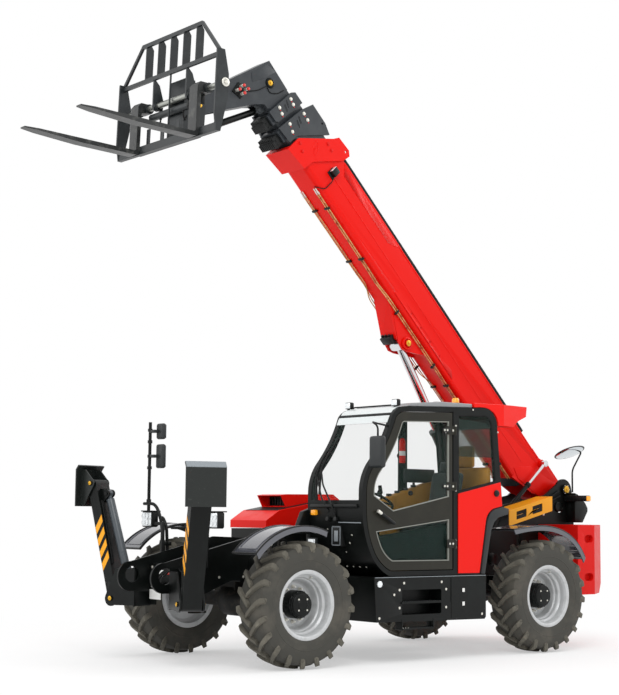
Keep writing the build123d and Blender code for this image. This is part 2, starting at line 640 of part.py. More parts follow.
# ---------------------------------------------------------------- fork carriage
neck_half = half_w - 3 * SECTION_STEP
FORK_Y, FORK_W, FORK_T = 540, 140, 46
FORK_LENGTH = 1330
SHAFT_AT = (220, 30)
SHAFT_R = 32
SHANK_X = 300
BEAM_LOW, FORK_LOW = -470, -480
BACK_X = 262
CARRIAGE_HALF = 900
TOP_HALF = 545
BACK_TOP, MID_BAR = 730, 340
with BuildPart() as carriage:
    plates(CARR, ((-62, 62), (-84, 0), (-80, -300), (0, -335), (BACK_X - 10, -470), (BACK_X - 10, -390),
                  (180, -330), (180, 250), (60, 250), (30, 90)), neck_half + GAP, 22)
    with BuildSketch(CARR.offset(-neck_half - GAP - 22)):
        with Locations((160, -40)):
            Rectangle(40, 580)
    extrude(amount=2 * (neck_half + GAP + 22))
    with BuildSketch(CARR.offset(-neck_half - GAP - 40)):
        Circle(NECK_PIN_R)
    extrude(amount=2 * (neck_half + GAP + 40))
    # clevis of the tilt cylinder
    plates(CARR, ((150, -215), (-30, -218), (-70, -262), (-30, -302), (150, -320)), TILT_EYE_W / 2 + GAP, 16)
    # side plates, bars and flats of the load guard
    plates(CARR, ((180, -120), (180, 120), (240, 360), (330, 360), (330, -300), (BACK_X + 38, BEAM_LOW),
                  (BACK_X - 12, BEAM_LOW)), CARRIAGE_HALF - 20, 20, ((*SHAFT_AT, SHAFT_R),))
    for z0, z1, x0, x1, half in ((BEAM_LOW, BEAM_LOW + 85, SHANK_X - 48, SHANK_X, CARRIAGE_HALF - 10),
                                 (MID_BAR - 45, MID_BAR, BACK_X, BACK_X + 28, CARRIAGE_HALF - 10),
                                 (BACK_TOP - 42, BACK_TOP, BACK_X, BACK_X + 28, TOP_HALF)):
        with BuildSketch(CARR.offset(-half)):
            with Locations(((x0 + x1) / 2, (z0 + z1) / 2)):
                Rectangle(x1 - x0, z1 - z0)
        extrude(amount=2 * half)
    for y in (-460, -230, 0, 230, 460):
        with BuildSketch(CARR.offset(-y - 6)):
            with BuildLine():
                Polyline((BACK_X - 62, MID_BAR), (BACK_X - 62, BACK_TOP - 60), (BACK_X - 20, BACK_TOP),
                         (BACK_X + 28, BACK_TOP), (BACK_X + 28, MID_BAR - 30), (BACK_X, MID_BAR - 40),
                         close=True)
            make_face()
        extrude(amount=12)
    for y in (-300, 300):
        with BuildSketch(CARR.offset(-y - 10)):
            with BuildLine():
                Polyline((160, -20), (150, 80), (210, 250), (BACK_X + 20, MID_BAR - 20), (BACK_X + 20, 240),
                         (280, 60), (270, -20), close=True)
            make_face()
            with Locations(SHAFT_AT):
                Circle(SHAFT_R, mode=Mode.SUBTRACT)
        extrude(amount=20)
    with BuildSketch(CARR.offset(-6)):
        with Locations((BACK_X + 8, -50)):
            Rectangle(16, 700)
    extrude(amount=12)
    with BuildSketch(Plane(origin=CARR.from_local_coords((BACK_X, 0, 0)), x_dir=(0, 1, 0), z_dir=CARR.x_dir)):
        for s in (1, -1):
            with BuildLine():
                Polyline((s * (TOP_HALF - 40), BACK_TOP), (s * TOP_HALF, BACK_TOP), (s * (CARRIAGE_HALF - 4), 345),
                         (s * (CARRIAGE_HALF - 50), 345), close=True)
            make_face()
    extrude(amount=28)
    # side shift cylinder under the shaft
    with BuildSketch(CARR.offset(-310)):
        with Locations((212, -75)):
            Circle(38)
    extrude(amount=720)
save(carriage, "carriage")

with BuildPart() as fork_shaft:
    with BuildSketch(CARR.offset(-CARRIAGE_HALF - 14)):
        with Locations(SHAFT_AT):
            Circle(SHAFT_R)
    extrude(amount=2 * CARRIAGE_HALF + 28)
save(fork_shaft, "fork_shaft")

with BuildPart() as forks:
    for y in (FORK_Y, -FORK_Y):
        with BuildSketch(CARR.offset(-y - FORK_W / 2)):
            with BuildLine():
                heel = ThreePointArc((SHANK_X, FORK_LOW + 50), (SHANK_X + 15, FORK_LOW + 15),
                                     (SHANK_X + 50, FORK_LOW))
                Polyline(heel @ 1, (SHANK_X + 700, FORK_LOW), (SHANK_X + FORK_LENGTH, FORK_LOW + FORK_T - 14),
                         (SHANK_X + FORK_LENGTH, FORK_LOW + FORK_T), (SHANK_X + FORK_T + 12, FORK_LOW + FORK_T))
                Polyline((SHANK_X + FORK_T + 12, FORK_LOW + FORK_T), (SHANK_X + FORK_T, FORK_LOW + FORK_T + 12),
                         (SHANK_X + FORK_T, 40), (SHANK_X + 10, 84), (180, 84), (172, -6), (SHANK_X, -24),
                         heel @ 0)
            make_face()
            with Locations(SHAFT_AT):
                Circle(SHAFT_R, mode=Mode.SUBTRACT)
        extrude(amount=FORK_W)
    # the tips narrow in plan
    with BuildSketch(Plane(origin=CARR.from_local_coords((0, FORK_LOW - 20, 0)), x_dir=CARR.x_dir,
                           z_dir=CARR.y_dir)):
        for y in (FORK_Y, -FORK_Y):
            for s in (1, -1):
                with BuildLine():
                    x1 = SHANK_X + FORK_LENGTH
                    Polyline((x1 - 150, y + s * FORK_W / 2), (x1 + 5, y + s * 42), (x1 + 5, y + s * FORK_W),
                             (x1 - 150, y + s * FORK_W), close=True)
                make_face()
    extrude(amount=100, mode=Mode.SUBTRACT)
save(forks, "forks")

# ---------------------------------------------------------------- hydraulic cylinders of the boom
def on_boom(u, v):
    """World (X, Z) of a point of the boom's side plane."""
    p = BOOM.from_local_coords((u, v, 0))
    return (p.X, p.Z)


def on_carriage(x, z):
    p = CARR.from_local_coords((x, z, 0))
    return (p.X, p.Z)


lift_pin = on_boom(*LIFT_EYE)
barrel, rod = cylinder_parts(Plane.XZ, LIFT_FOOT, lift_pin, LIFT_R - 8, 50, (88, 2 * LIFT_R, 0),
                             (74, LIFT_EYE_W, 40), LIFT_CLOSED)
save(barrel, "lift_barrel")
save(rod, "lift_rod")
barrel, rod = cylinder_parts(side(COMP_Y), COMP_FOOT, on_boom(*COMP_EYE), 26, 18, (36, COMP_EYE_W, 22),
                             (38, COMP_EYE_W, 0), COMP_CLOSED)
save(barrel, "comp_barrel")
save(rod, "comp_rod")
barrel, rod = cylinder_parts(Plane.XZ, on_boom(*TILT_FOOT), on_carriage(*TILT_EYE), 36, 24,
                             (40, TILT_EYE_W, 22), (40, TILT_EYE_W, 0), TILT_CLOSED)
save(barrel, "tilt_barrel")
save(rod, "tilt_rod")

# ---------------------------------------------------------------- cab
DOOR_REAR = -250
WINDOW_INSET = 150
CAB_W = CAB_LEFT - CAB_RIGHT


def cab_outline(inset=0):
    """Side profile of the cab: curved front, flat roof, wheel arch at the rear."""
    with BuildSketch(mode=Mode.PRIVATE) as outline:
        with BuildLine():
            Line((-646, CAB_FLOOR), (640, CAB_FLOOR))
            lower = Line((1016, 1718), (1016, 1560))
            knee = TangentArc(lower @ 1, (910, 1117), tangent=lower % 1)
            TangentArc(knee @ 1, (640, CAB_FLOOR), tangent=knee % 1)
            brow = TangentArc(lower @ 0, (900, 2030), tangent=(0, 1))
            pillar = TangentArc(brow @ 1, (614, 2520), tangent=brow % 1)
            ThreePointArc(pillar @ 1, (540, 2586), (430, 2612))
            Line((430, 2612), (-672, 2651))
            ThreePointArc((-672, 2651), (-868, 2590), (-925, 2430))
            Line((-925, 2430), (-1000, 1590))
            Line((-1000, 1590), (-860, 1562))
            ThreePointArc((-860, 1562), (-775, 1500), (-745, 1420))
            Line((-745, 1420), (-646, CAB_FLOOR))
        make_face()
        if inset:
            offset(amount=-inset, mode=Mode.REPLACE)
    return outline.sketch


def region(*points):
    with BuildSketch(mode=Mode.PRIVATE) as patch:
        with BuildLine():
            Polyline(*points, close=True)
        make_face()
    return patch.sketch


door_hole = cab_outline(50) & region((DOOR_REAR, 800), (1200, 800), (1200, 2700), (DOOR_REAR, 2700))
with BuildSketch(mode=Mode.PRIVATE) as inner_edge:
    add(door_hole)
    offset(amount=-GAP, kind=Kind.INTERSECTION, mode=Mode.REPLACE)
door_shape = inner_edge.sketch
upper_pane = cab_outline(WINDOW_INSET) & region((-190, 2700), (-190, 1690), (600, 1530), (1100, 1817), (1100, 2700))
lower_pane = cab_outline(WINDOW_INSET) & region((-190, 1455), (1100, 1295), (1100, 900), (-190, 900))
quarter_pane = cab_outline(80) & region((-330, 2700), (-330, 1745), (-1100, 1905), (-1100, 2700))
inner_pane = cab_outline(90) & region((-1100, 1500), (1100, 1500), (1100, 2700), (-1100, 2700))
front_box = ((360, CAB_RIGHT + 60, 1640), (1100, CAB_LEFT - 60, 2500))
rear_box = ((-1100, CAB_RIGHT + 60, 1760), (-860, CAB_LEFT - 60, 2440))


with BuildPart() as cab_shell:
    extrude(side(CAB_LEFT) * cab_outline(), amount=CAB_W)
    extrude(side(CAB_LEFT - WALL) * cab_outline(WALL), amount=CAB_W - 2 * WALL, mode=Mode.SUBTRACT)
    extrude(side(CAB_LEFT) * door_hole, amount=WALL, mode=Mode.SUBTRACT)
    extrude(side(CAB_LEFT) * quarter_pane, amount=WALL, mode=Mode.SUBTRACT)
    extrude(side(CAB_RIGHT + WALL) * inner_pane, amount=WALL, mode=Mode.SUBTRACT)
    box_between(*front_box, mode=Mode.SUBTRACT)
    box_between(*rear_box, mode=Mode.SUBTRACT)
save(cab_shell, "cab_shell")

with BuildPart() as cab_glass:
    extrude(side(CAB_LEFT - GLASS_T) * quarter_pane, amount=GLASS_T)
    extrude(side(CAB_RIGHT + 2 * GLASS_T) * inner_pane, amount=GLASS_T)
with BuildPart() as screens:
    extrude(side(CAB_LEFT) * cab_outline(4), amount=CAB_W)
    extrude(side(CAB_LEFT) * cab_outline(4 + GLASS_T), amount=CAB_W, mode=Mode.SUBTRACT)
    with BuildPart(mode=Mode.INTERSECT):
        box_between(*front_box)
        box_between(*rear_box)
with BuildPart() as cab_glass_all:
    add(cab_glass.part)
    add(screens.part)
save(cab_glass_all, "cab_glass")

with BuildPart() as door:
    extrude(side(CAB_LEFT) * door_shape, amount=WALL)
    extrude(side(CAB_LEFT) * upper_pane, amount=WALL, mode=Mode.SUBTRACT)
    extrude(side(CAB_LEFT) * lower_pane, amount=WALL, mode=Mode.SUBTRACT)
    for z in (1200, 1800, 2390):
        with BuildSketch(Plane.XY.offset(z - 45)):
            with Locations(DOOR_HINGE):
                Circle(12)
            with Locations((DOOR_HINGE[0] + 60, CAB_LEFT + 6)):
                Rectangle(120, 12)
        extrude(amount=90)
    with BuildSketch(side(CAB_LEFT + 24)):
        with Locations(Location((730, 1470), 28)):
            SlotOverall(240, 30)
    extrude(amount=24)
save(door, "cab_door")

with BuildPart() as door_glass:
    extrude(side(CAB_LEFT - 20) * upper_pane, amount=GLASS_T)
    extrude(side(CAB_LEFT - 20) * lower_pane, amount=GLASS_T)
save(door_glass, "door_glass")

with BuildPart() as cab_panel:
    extrude(side(CAB_LEFT + 10) * (cab_outline(12) & region((-320, 890), (-320, 1725), (-1100, 1887), (-1100, 890))),
            amount=10)
save(cab_panel, "cab_panel")

with BuildPart() as cab_roof:
    with BuildSketch(side(CAB_LEFT - 20)):
        with BuildLine():
            Polyline((400, 2616), (330, 2655), (-100, 2690), (-560, 2690), (-560, 2650), close=True)
        make_face()
    extrude(amount=CAB_W - 40)
save(cab_roof, "cab_roof")

with BuildPart() as roof_fairing:
    with BuildSketch(side(CAB_LEFT + 4)):
        with BuildLine():
            Polyline((-568, 2652), (-568, 2700), (-1540, 2712), (-1520, 2600), (-1340, 2540), (-1230, 2470),
                     (-935, 2470), (-935, 2500), (-915, 2560), (-870, 2610), (-790, 2648), (-672, 2659), close=True)
        make_face()
    extrude(amount=CAB_W + 8)
    with BuildSketch(Plane.XY.offset(2400)):
        for y0, y1 in ((CAB_LEFT + 10, CAB_LEFT - 150), (CAB_RIGHT - 10, CAB_RIGHT + 60)):
            with BuildLine():
                Polyline((-1000, y0), (-1600, y0), (-1600, y1), close=True)
            make_face()
    extrude(amount=400, mode=Mode.SUBTRACT)
    box_between((-1480, CAB_RIGHT + 100, 2440), (-960, CAB_LEFT - 200, 2660), mode=Mode.SUBTRACT)
    extrude(side(CAB_LEFT + 4) * cab_outline(-3), amount=CAB_W + 8, mode=Mode.SUBTRACT)
save(roof_fairing, "roof_fairing")

SEAT_X, SEAT_Y, SEAT_Z = -300, 735, 1330
with BuildPart() as seat:
    with Locations((SEAT_X, SEAT_Y, (CAB_FLOOR + WALL + SEAT_Z) / 2)):
        Box(320, 300, SEAT_Z - CAB_FLOOR - WALL)
    with BuildSketch(side(SEAT_Y + 240)):
        with BuildLine():
            Polyline((-560, SEAT_Z), (-50, SEAT_Z), (-20, SEAT_Z + 110), (-420, SEAT_Z + 100),
                     (-520, SEAT_Z + 640), (-620, SEAT_Z + 640), (-560, SEAT_Z + 60), close=True)
        make_face()
    extrude(amount=480)
save(seat, "seat")

with BuildPart() as console:
    with BuildSketch(side(CAB_LEFT - 330)):
        with BuildLine():
            Polyline((480, CAB_FLOOR + WALL), (480, 1500), (430, 1560), (640, 1640), (900, 1600), (860, 1250),
                     (610, CAB_FLOOR + WALL), close=True)
        make_face()
    extrude(amount=300)
    with BuildSketch(side(CAB_RIGHT + WALL + 135)):
        with BuildLine():
            Polyline((-560, CAB_FLOOR + WALL), (-560, 1560), (200, 1480), (260, CAB_FLOOR + WALL), close=True)
        make_face()
    extrude(amount=130)
    tilt_wheel = Plane(origin=(430, SEAT_Y, 1640), x_dir=(0, 1, 0), z_dir=(-0.5, 0, 0.866))
    with BuildSketch(tilt_wheel.offset(-12)):
        Circle(190)
        Circle(160, mode=Mode.SUBTRACT)
        Rectangle(330, 30)
        Circle(40)
    extrude(amount=24)
    with BuildSketch(tilt_wheel):
        Circle(26)
    extrude(amount=-190)
save(console, "console")

# ---------------------------------------------------------------- engine side
BAY_IN, BAY_OUT = -440, -1150
BAY_REAR, BAY_FRONT = -830, 940
BAY_LOW, BAY_TOP = 640, 1330
HOOD_PIVOT = (-950, 1360)
HOOD_HINGES = (-620, -1040)
with BuildPart() as engine_bay:
    box_between((BAY_REAR, BAY_OUT, BAY_LOW), (BAY_FRONT, BAY_IN, BAY_TOP))
    box_between((BAY_REAR + 20, BAY_OUT + 20, BAY_LOW + 20), (BAY_FRONT - 20, BAY_IN - 20, BAY_TOP + 10),
                mode=Mode.SUBTRACT)
    # brackets to the chassis
    for x in (-600, 600):
        box_between((x - 40, BAY_IN, 700), (x + 40, -FRAME_Y, 800))
    # cheeks and pins of the hood's hinges
    for y in HOOD_HINGES:
        for y0 in (y - 48, y + 38):
            with BuildSketch(side(y0 + 10)):
                with BuildLine():
                    Polyline((BAY_REAR, 1230), (BAY_REAR, 1326), (HOOD_PIVOT[0] + 38, 1326),
                             (HOOD_PIVOT[0] + 35, HOOD_PIVOT[1] + 14), (HOOD_PIVOT[0] - 14, HOOD_PIVOT[1] + 14),
                             (HOOD_PIVOT[0] - 14, HOOD_PIVOT[1] - 14), close=True)
                make_face()
            extrude(amount=10)
        with BuildSketch(side(y + 40)):
            with Locations(HOOD_PIVOT):
                Circle(7)
        extrude(amount=80)
save(engine_bay, "engine_bay")

with BuildPart() as engine:
    box_between((-400, -1000, BAY_LOW + 20), (300, -580, 1160))
save(engine, "engine")

HOOD_IN, HOOD_OUT = -500, -1160
HOOD_PROFILE = ((-900, BAY_TOP + GAP), (950, BAY_TOP + GAP), (950, 1420), (770, 1530), (250, 1620),
                (-880, 1640), (-930, 1600))
with BuildPart() as hood:
    with BuildSketch(side(HOOD_IN)):
        with BuildLine():
            Polyline(*HOOD_PROFILE, close=True)
        make_face()
    extrude(amount=HOOD_IN - HOOD_OUT)
    with BuildSketch(side(HOOD_IN - 8)):
        with BuildLine():
            Polyline((-892, BAY_TOP), (938, BAY_TOP), (938, 1412), (764, 1518), (248, 1608), (-876, 1628),
                     (-918, 1592), close=True)
        make_face()
    extrude(amount=HOOD_IN - HOOD_OUT - 16, mode=Mode.SUBTRACT)
    with BuildSketch(side(-640)):
        with BuildLine():
            Polyline((560, 1556), (640, 1700), (560, 1712), (-120, 1720), (-260, 1628), close=True)
        make_face()
    extrude(amount=440)
    with BuildSketch(side(-652)):
        with BuildLine():
            Polyline((400, 1594), (700, 1560), (700, 1690), (430, 1700), close=True)
        make_face()
    extrude(amount=416, mode=Mode.SUBTRACT)
    for y in HOOD_HINGES:
        box_between((HOOD_PIVOT[0], y - 30, HOOD_PIVOT[1] - 6), (-900, y + 30, HOOD_PIVOT[1] + 6))
        with BuildSketch(side(y + 30)):
            with Locations(HOOD_PIVOT):
                Circle(14)
        extrude(amount=60)
        with BuildSketch(side(y + 30)):
            with Locations(HOOD_PIVOT):
                Circle(7 + FIT)
        extrude(amount=60, mode=Mode.SUBTRACT)
save(hood, "hood")

# ---------------------------------------------------------------- counterweight, tank
with BuildPart() as counterweight:
    with BuildSketch(Plane.XY.offset(600)):
        with BuildLine():
            Polyline((-2500, 930), (-2790, 930), (-3240, 640), (-3240, -640), (-2790, -930), (-2500, -930),
                     (-2500, -FRAME_Y - 4), (-3150, -FRAME_Y - 4), (-3150, FRAME_Y + 4), (-2500, FRAME_Y + 4),
                     close=True)
        make_face()
    extrude(amount=800)
    with BuildSketch(side(1000)):
        with BuildLine():
            Polyline((-2400, 590), (-2560, 590), (-2400, 800), close=True)
        make_face()
        with BuildLine():
            Polyline((-3300, 590), (-3100, 590), (-3300, 760), close=True)
        make_face()
    extrude(amount=2000, mode=Mode.SUBTRACT)
    for z in (1240, 800):
        for y, s in ((930, 1), (-930, -1)):
            with BuildSketch(side(y + 20 if s > 0 else y + 60)):
                with Locations((-2690, z)):
                    SlotOverall(150, 90)
            extrude(amount=80, mode=Mode.SUBTRACT)
save(counterweight, "counterweight")

TANK_IN, TANK_OUT = 430, 1190
with BuildPart() as tank:
    with BuildSketch(side(TANK_OUT)):
        with BuildLine():
            Polyline((-720, CAB_FLOOR - GAP), (870, CAB_FLOOR - GAP), (840, 420), (-700, 406), (-720, 430),
                     close=True)
        make_face()
        with Locations((218, 610)):
            RectangleRounded(560, 250, 20, mode=Mode.SUBTRACT)
    extrude(amount=TANK_OUT - TANK_IN)
    box_between((-700, TANK_IN - 10, 440), (820, TANK_OUT - 15, CAB_FLOOR - GAP - 15), mode=Mode.SUBTRACT)
    box_between((-80, TANK_IN, 470), (520, TANK_OUT - 180, 750))
    box_between((-80, TANK_IN, 470), (-62, TANK_OUT - 10, 750))
    box_between((498, TANK_IN, 470), (516, TANK_OUT - 10, 750))
    box_between((-80, TANK_OUT - 200, 470), (516, TANK_OUT - 10, 485))
    box_between((-80, TANK_OUT - 200, 735), (516, TANK_OUT - 10, 750))
    for x in (-520, 480):
        box_between((x, TANK_IN, 440), (x + 40, TANK_OUT - 10, CAB_FLOOR - GAP - 10))
    for x in (-500, 500):
        box_between((x - 40, FRAME_Y, 600), (x + 40, TANK_IN, 760))
    # steps: one bar in the recess, one hung below
    box_between((-68, TANK_OUT - 190, 595), (504, TANK_OUT + 10, 615))
    for x in (60, 480):
        box_between((x - 8, TANK_OUT - 60, 345), (x + 8, TANK_OUT - 40, 430))
    box_between((50, TANK_OUT - 130, 335), (490, TANK_OUT + 10, 350))
save(tank, "tank")

# ---------------------------------------------------------------- lamps, mirrors, guard
with BuildPart() as lamps:
    for s in (1, -1):
        box_between((2360, min(s * 485, s * 675), 1345), (2450, max(s * 485, s * 675), 1510))
        box_between((2400, min(s * FRAME_Y, s * 540), 1370), (2430, max(s * FRAME_Y, s * 540), 1400))
        box_between((2400, min(s * FRAME_Y, s * (FRAME_Y + 12)), 900),
                    (2430, max(s * FRAME_Y, s * (FRAME_Y + 12)), 1400))
        box_between((-3040, min(s * FRAME_Y, s * 670), 1675), (-2960, max(s * FRAME_Y, s * 670), 1750))
    # work lamps at the roof's front corners, and the beacon
    for y in (CAB_RIGHT + 45, CAB_LEFT - 85):
        box_between((470, y - 50, 2615), (530, y + 50, 2690))
        box_between((488, y - 12, 2580), (512, y + 12, 2615))
    extrude(side(CAB_LEFT) * cab_outline(), amount=CAB_W, mode=Mode.SUBTRACT)
    with BuildSketch(Plane.XY.offset(2690)):
        with Locations((-455, 1000)):
            Circle(46)
    extrude(amount=70)
save(lamps, "lamps")

with BuildPart() as mirrors:
    box_between((905, 1200, 1990), (955, 1400, 2280))
    box_between((640, 1140, 2390), (940, 1160, 2410))
    box_between((920, 1140, 2390), (940, 1310, 2410))
    box_between((920, 1290, 2275), (940, 1310, 2410))
    extrude(side(CAB_LEFT) * cab_outline(), amount=CAB_W, mode=Mode.SUBTRACT)
    box_between((2395, -610, 1510), (2425, -580, 2430))
    for z0, z1 in ((2250, 2415), (1950, 2200)):
        box_between((2310, -560, z0), (2370, -430, z1))
        box_between((2370, -585, (z0 + z1) / 2 - 10), (2410, -500, (z0 + z1) / 2 + 10))
    box_between((-2915, 490, 1780), (-2895, 510, 2300))
    box_between((-2960, 300, 2180), (-2860, 500, 2200))
save(mirrors, "mirrors")

GUARD_OUT = 560
with BuildPart() as guard:
    with BuildSketch(side(GUARD_OUT)):
        with BuildLine():
            Polyline((-1750, 1380), (-1750, 1560), (-2480, 1730), (-2480, 1560), close=True)
        make_face()
    extrude(amount=GUARD_OUT - FRAME_Y)
    with BuildSketch(side(GUARD_OUT - 8)):
        with BuildLine():
            Polyline((-1700, 1300), (-1700, 1540), (-2520, 1732), (-2520, 1500), close=True)
        make_face()
    extrude(amount=GUARD_OUT - FRAME_Y, mode=Mode.SUBTRACT)
    # two C-shaped openings in the outer face
    for x in (-1870, -2140):
        with BuildSketch(side(GUARD_OUT + 10)):
            with BuildLine():
                Polyline((x, 1425 - (x + 1750) * 0.233), (x, 1545 - (x + 1870) * 0.233),
                         (x - 170, 1585 - (x + 1870) * 0.233), (x - 170, 1465 - (x + 1750) * 0.233), close=True)
            make_face()
            with BuildLine():
                Polyline((x + 2, 1470 - (x + 1750) * 0.233), (x + 2, 1500 - (x + 1870) * 0.233),
                         (x - 110, 1526 - (x + 1870) * 0.233), (x - 110, 1496 - (x + 1750) * 0.233), close=True)
            make_face(mode=Mode.SUBTRACT)
        extrude(amount=30, mode=Mode.SUBTRACT)
save(guard, "guard")

with BuildPart() as boom_pipes:
    for y in (-110, -80, 80, 110):
        with BuildSketch(across(BOOM, 600, BOOM_LOW - 14)):
            with Locations((y, 0)):
                Circle(7)
        extrude(amount=1800)
        with BuildSketch(across(BOOM, 3500, BOOM_LOW - 14)):
            with Locations((y, 0)):
                Circle(7)
        extrude(amount=HEAD_U - 3500 - 452)
    for u in (700, 1500, 2300, 3600, (3100 + HEAD_U) / 2, HEAD_U - 502):
        with BuildSketch(across(BOOM, u, BOOM_LOW - 11)):
            with Locations((-95, 0), (95, 0)):
                Rectangle(60, 22)
        extrude(amount=30)
    with BuildSketch(across(BOOM, 900, BOOM_TOP + 22)):
        with Locations((-100, 0)):
            RectangleRounded(70, 44, 12)
    extrude(amount=HEAD_U - 1502)
save(boom_pipes, "boom_pipes")
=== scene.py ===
"""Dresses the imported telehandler: finishes, tyres, wheels, cylinders, cab and fittings.

Metres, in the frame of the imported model: +X forward, +Y to the driver's left, +Z up.
"""

import json
import logging
from collections.abc import Iterable, Sequence
from dataclasses import dataclass, field
from enum import Enum
from math import atan2, cos, pi, radians, sin, sqrt, tau

import bmesh
import bpy
from mathutils import Matrix, Vector

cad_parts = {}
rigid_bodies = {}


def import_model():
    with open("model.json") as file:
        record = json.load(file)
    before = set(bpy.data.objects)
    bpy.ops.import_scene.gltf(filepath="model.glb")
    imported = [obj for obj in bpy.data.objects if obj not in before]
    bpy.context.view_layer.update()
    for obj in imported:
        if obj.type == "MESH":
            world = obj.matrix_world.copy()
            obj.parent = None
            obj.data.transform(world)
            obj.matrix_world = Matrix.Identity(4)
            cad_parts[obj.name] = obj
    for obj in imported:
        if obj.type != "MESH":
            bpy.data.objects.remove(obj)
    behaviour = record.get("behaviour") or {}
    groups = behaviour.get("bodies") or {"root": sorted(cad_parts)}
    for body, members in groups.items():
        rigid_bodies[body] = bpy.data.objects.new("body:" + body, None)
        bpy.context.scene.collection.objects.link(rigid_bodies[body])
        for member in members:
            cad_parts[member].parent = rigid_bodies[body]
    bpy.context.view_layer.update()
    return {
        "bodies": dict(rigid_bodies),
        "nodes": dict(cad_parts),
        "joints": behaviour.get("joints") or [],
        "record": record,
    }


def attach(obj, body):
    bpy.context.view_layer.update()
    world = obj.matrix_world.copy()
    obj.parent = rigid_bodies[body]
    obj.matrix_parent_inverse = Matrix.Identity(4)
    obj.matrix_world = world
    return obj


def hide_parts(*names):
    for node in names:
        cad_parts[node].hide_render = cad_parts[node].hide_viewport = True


LOG = logging.getLogger("telehandler")
MM = 0.001
Point = Sequence[float]
FORWARD, OUTWARD, UP = (1, 0, 0), (0, 1, 0), (0, 0, 1)
CORNERS = ("fl", "fr", "rl", "rr")
WHITE = (1.0, 1.0, 1.0, 1.0)


class Side(Enum):
    """The two sides of the machine, by the sign of Y."""

    LEFT = 1
    RIGHT = -1


# ---------------------------------------------------------------- finishes
def linear(hex_colour: str, alpha: float = 1.0) -> tuple[float, float, float, float]:
    """Turns an sRGB hex colour into linear light.

    Args:
        hex_colour: six hex digits after a hash.
        alpha: the fourth value.

    Returns:
        Linear red, green, blue and alpha.
    """
    values = [int(hex_colour[i:i + 2], 16) / 255 for i in (1, 3, 5)]
    r, g, b = (v / 12.92 if v <= 0.04045 else ((v + 0.055) / 1.055) ** 2.4 for v in values)
    return (r, g, b, alpha)


def add_node(tree: bpy.types.NodeTree, kind: str, settings: dict[str, object] | None = None,
             links: dict[str | int, bpy.types.NodeSocket] | None = None) -> bpy.types.Node:
    """Adds a node with its settings and links.

    Args:
        tree: the material's node tree.
        kind: the node's Blender type name.
        settings: socket or property names with their values.
        links: input sockets, by name or place, with the sockets that feed them.

    Returns:
        The new node.
    """
    node = tree.nodes.new(kind)
    for name, value in (settings or {}).items():
        if name in node.inputs:
            node.inputs[name].default_value = value
        else:
            setattr(node, name, value)
    for name, source in (links or {}).items():
        tree.links.new(source, node.inputs[name])
    return node


@dataclass(frozen=True)
class Finish:
    """A real surface: its colours, gloss, grain and the dust or wear on it."""

    name: str
    colour: str
    roughness: float
    slot: str = "black"         # the record's slot for a new piece
    metallic: float = 0.0
    coat: float = 0.0
    grain_mm: float = 2.0       # size of the surface's grain
    depth_mm: float = 0.0       # its depth
    second: str = ""            # dust, wear or a second tone
    share: float = 0.0          # how much of the surface that covers
    patch_mm: float = 120.0     # size of its patches
    alpha: float = 1.0
    sheen: float = 0.0
    glow: float = 0.0
    specular: float = 0.5

    def build(self) -> bpy.types.Material:
        """Makes the material, reading object coordinates.

        Returns:
            The material with its nodes.
        """
        made = bpy.data.materials.get(self.name)
        if made:
            return made
        made = bpy.data.materials.new(self.name)
        made.use_nodes = True
        tree = made.node_tree
        shader = tree.nodes["Principled BSDF"]
        for socket, value in {"Base Color": linear(self.colour), "Roughness": self.roughness,
                              "Metallic": self.metallic, "Coat Weight": self.coat, "Coat Roughness": 0.08,
                              "Alpha": self.alpha, "Sheen Weight": self.sheen,
                              "Specular IOR Level": self.specular}.items():
            shader.inputs[socket].default_value = value
        # painted light: a glow on lenses, caps and panes that no lamp lights
        if self.glow:
            shader.inputs["Emission Color"].default_value = linear(self.colour)
            shader.inputs["Emission Strength"].default_value = self.glow
        place = add_node(tree, "ShaderNodeTexCoord").outputs["Object"]
        patches = add_node(tree, "ShaderNodeTexNoise",
                           {"Scale": 1 / (self.patch_mm * MM), "Detail": 4.0, "Roughness": 0.62},
                           {"Vector": place})
        if self.second:
            edge = add_node(tree, "ShaderNodeMapRange",
                            {"From Min": 0.68 - 0.42 * self.share, "From Max": 0.82 - 0.30 * self.share},
                            {"Value": patches.outputs["Fac"]})
            tone = add_node(tree, "ShaderNodeMix", {"data_type": "RGBA"}, {"Factor": edge.outputs["Result"]})
            tone.inputs[6].default_value = linear(self.colour)
            tone.inputs[7].default_value = linear(self.second)
            tree.links.new(tone.outputs[2], shader.inputs["Base Color"])
        gloss = add_node(tree, "ShaderNodeMapRange",
                         {"From Min": 0.3, "From Max": 0.7, "To Min": max(0.02, self.roughness - 0.05),
                          "To Max": self.roughness + 0.08}, {"Value": patches.outputs["Fac"]})
        tree.links.new(gloss.outputs["Result"], shader.inputs["Roughness"])
        if self.depth_mm:
            grain = add_node(tree, "ShaderNodeTexNoise",
                             {"Scale": 1 / (self.grain_mm * MM), "Detail": 2.0}, {"Vector": place})
            bump = add_node(tree, "ShaderNodeBump", {"Strength": 0.5, "Distance": self.depth_mm * MM},
                            {"Height": grain.outputs["Fac"]})
            tree.links.new(bump.outputs["Normal"], shader.inputs["Normal"])
        return made


# Two-pack machine enamel over steel: a deep even red with a wet gloss and faint orange peel.
RED_ENAMEL = Finish("red_enamel", "#e61004", 0.34, "red", specular=0.16, coat=0.04, grain_mm=6, depth_mm=0.02)
# The same red on moulded covers, slightly softer in gloss.
RED_MOULDING = Finish("red_moulded_cover", "#ef150a", 0.34, "red", specular=0.16, coat=0.05, grain_mm=9,
                      depth_mm=0.05)
# Red enamel on sand-cast iron: the casting's skin still shows through the paint.
RED_CASTING = Finish("red_painted_casting", "#d8120b", 0.42, "red", specular=0.16, coat=0.05, grain_mm=4,
                     depth_mm=0.35)
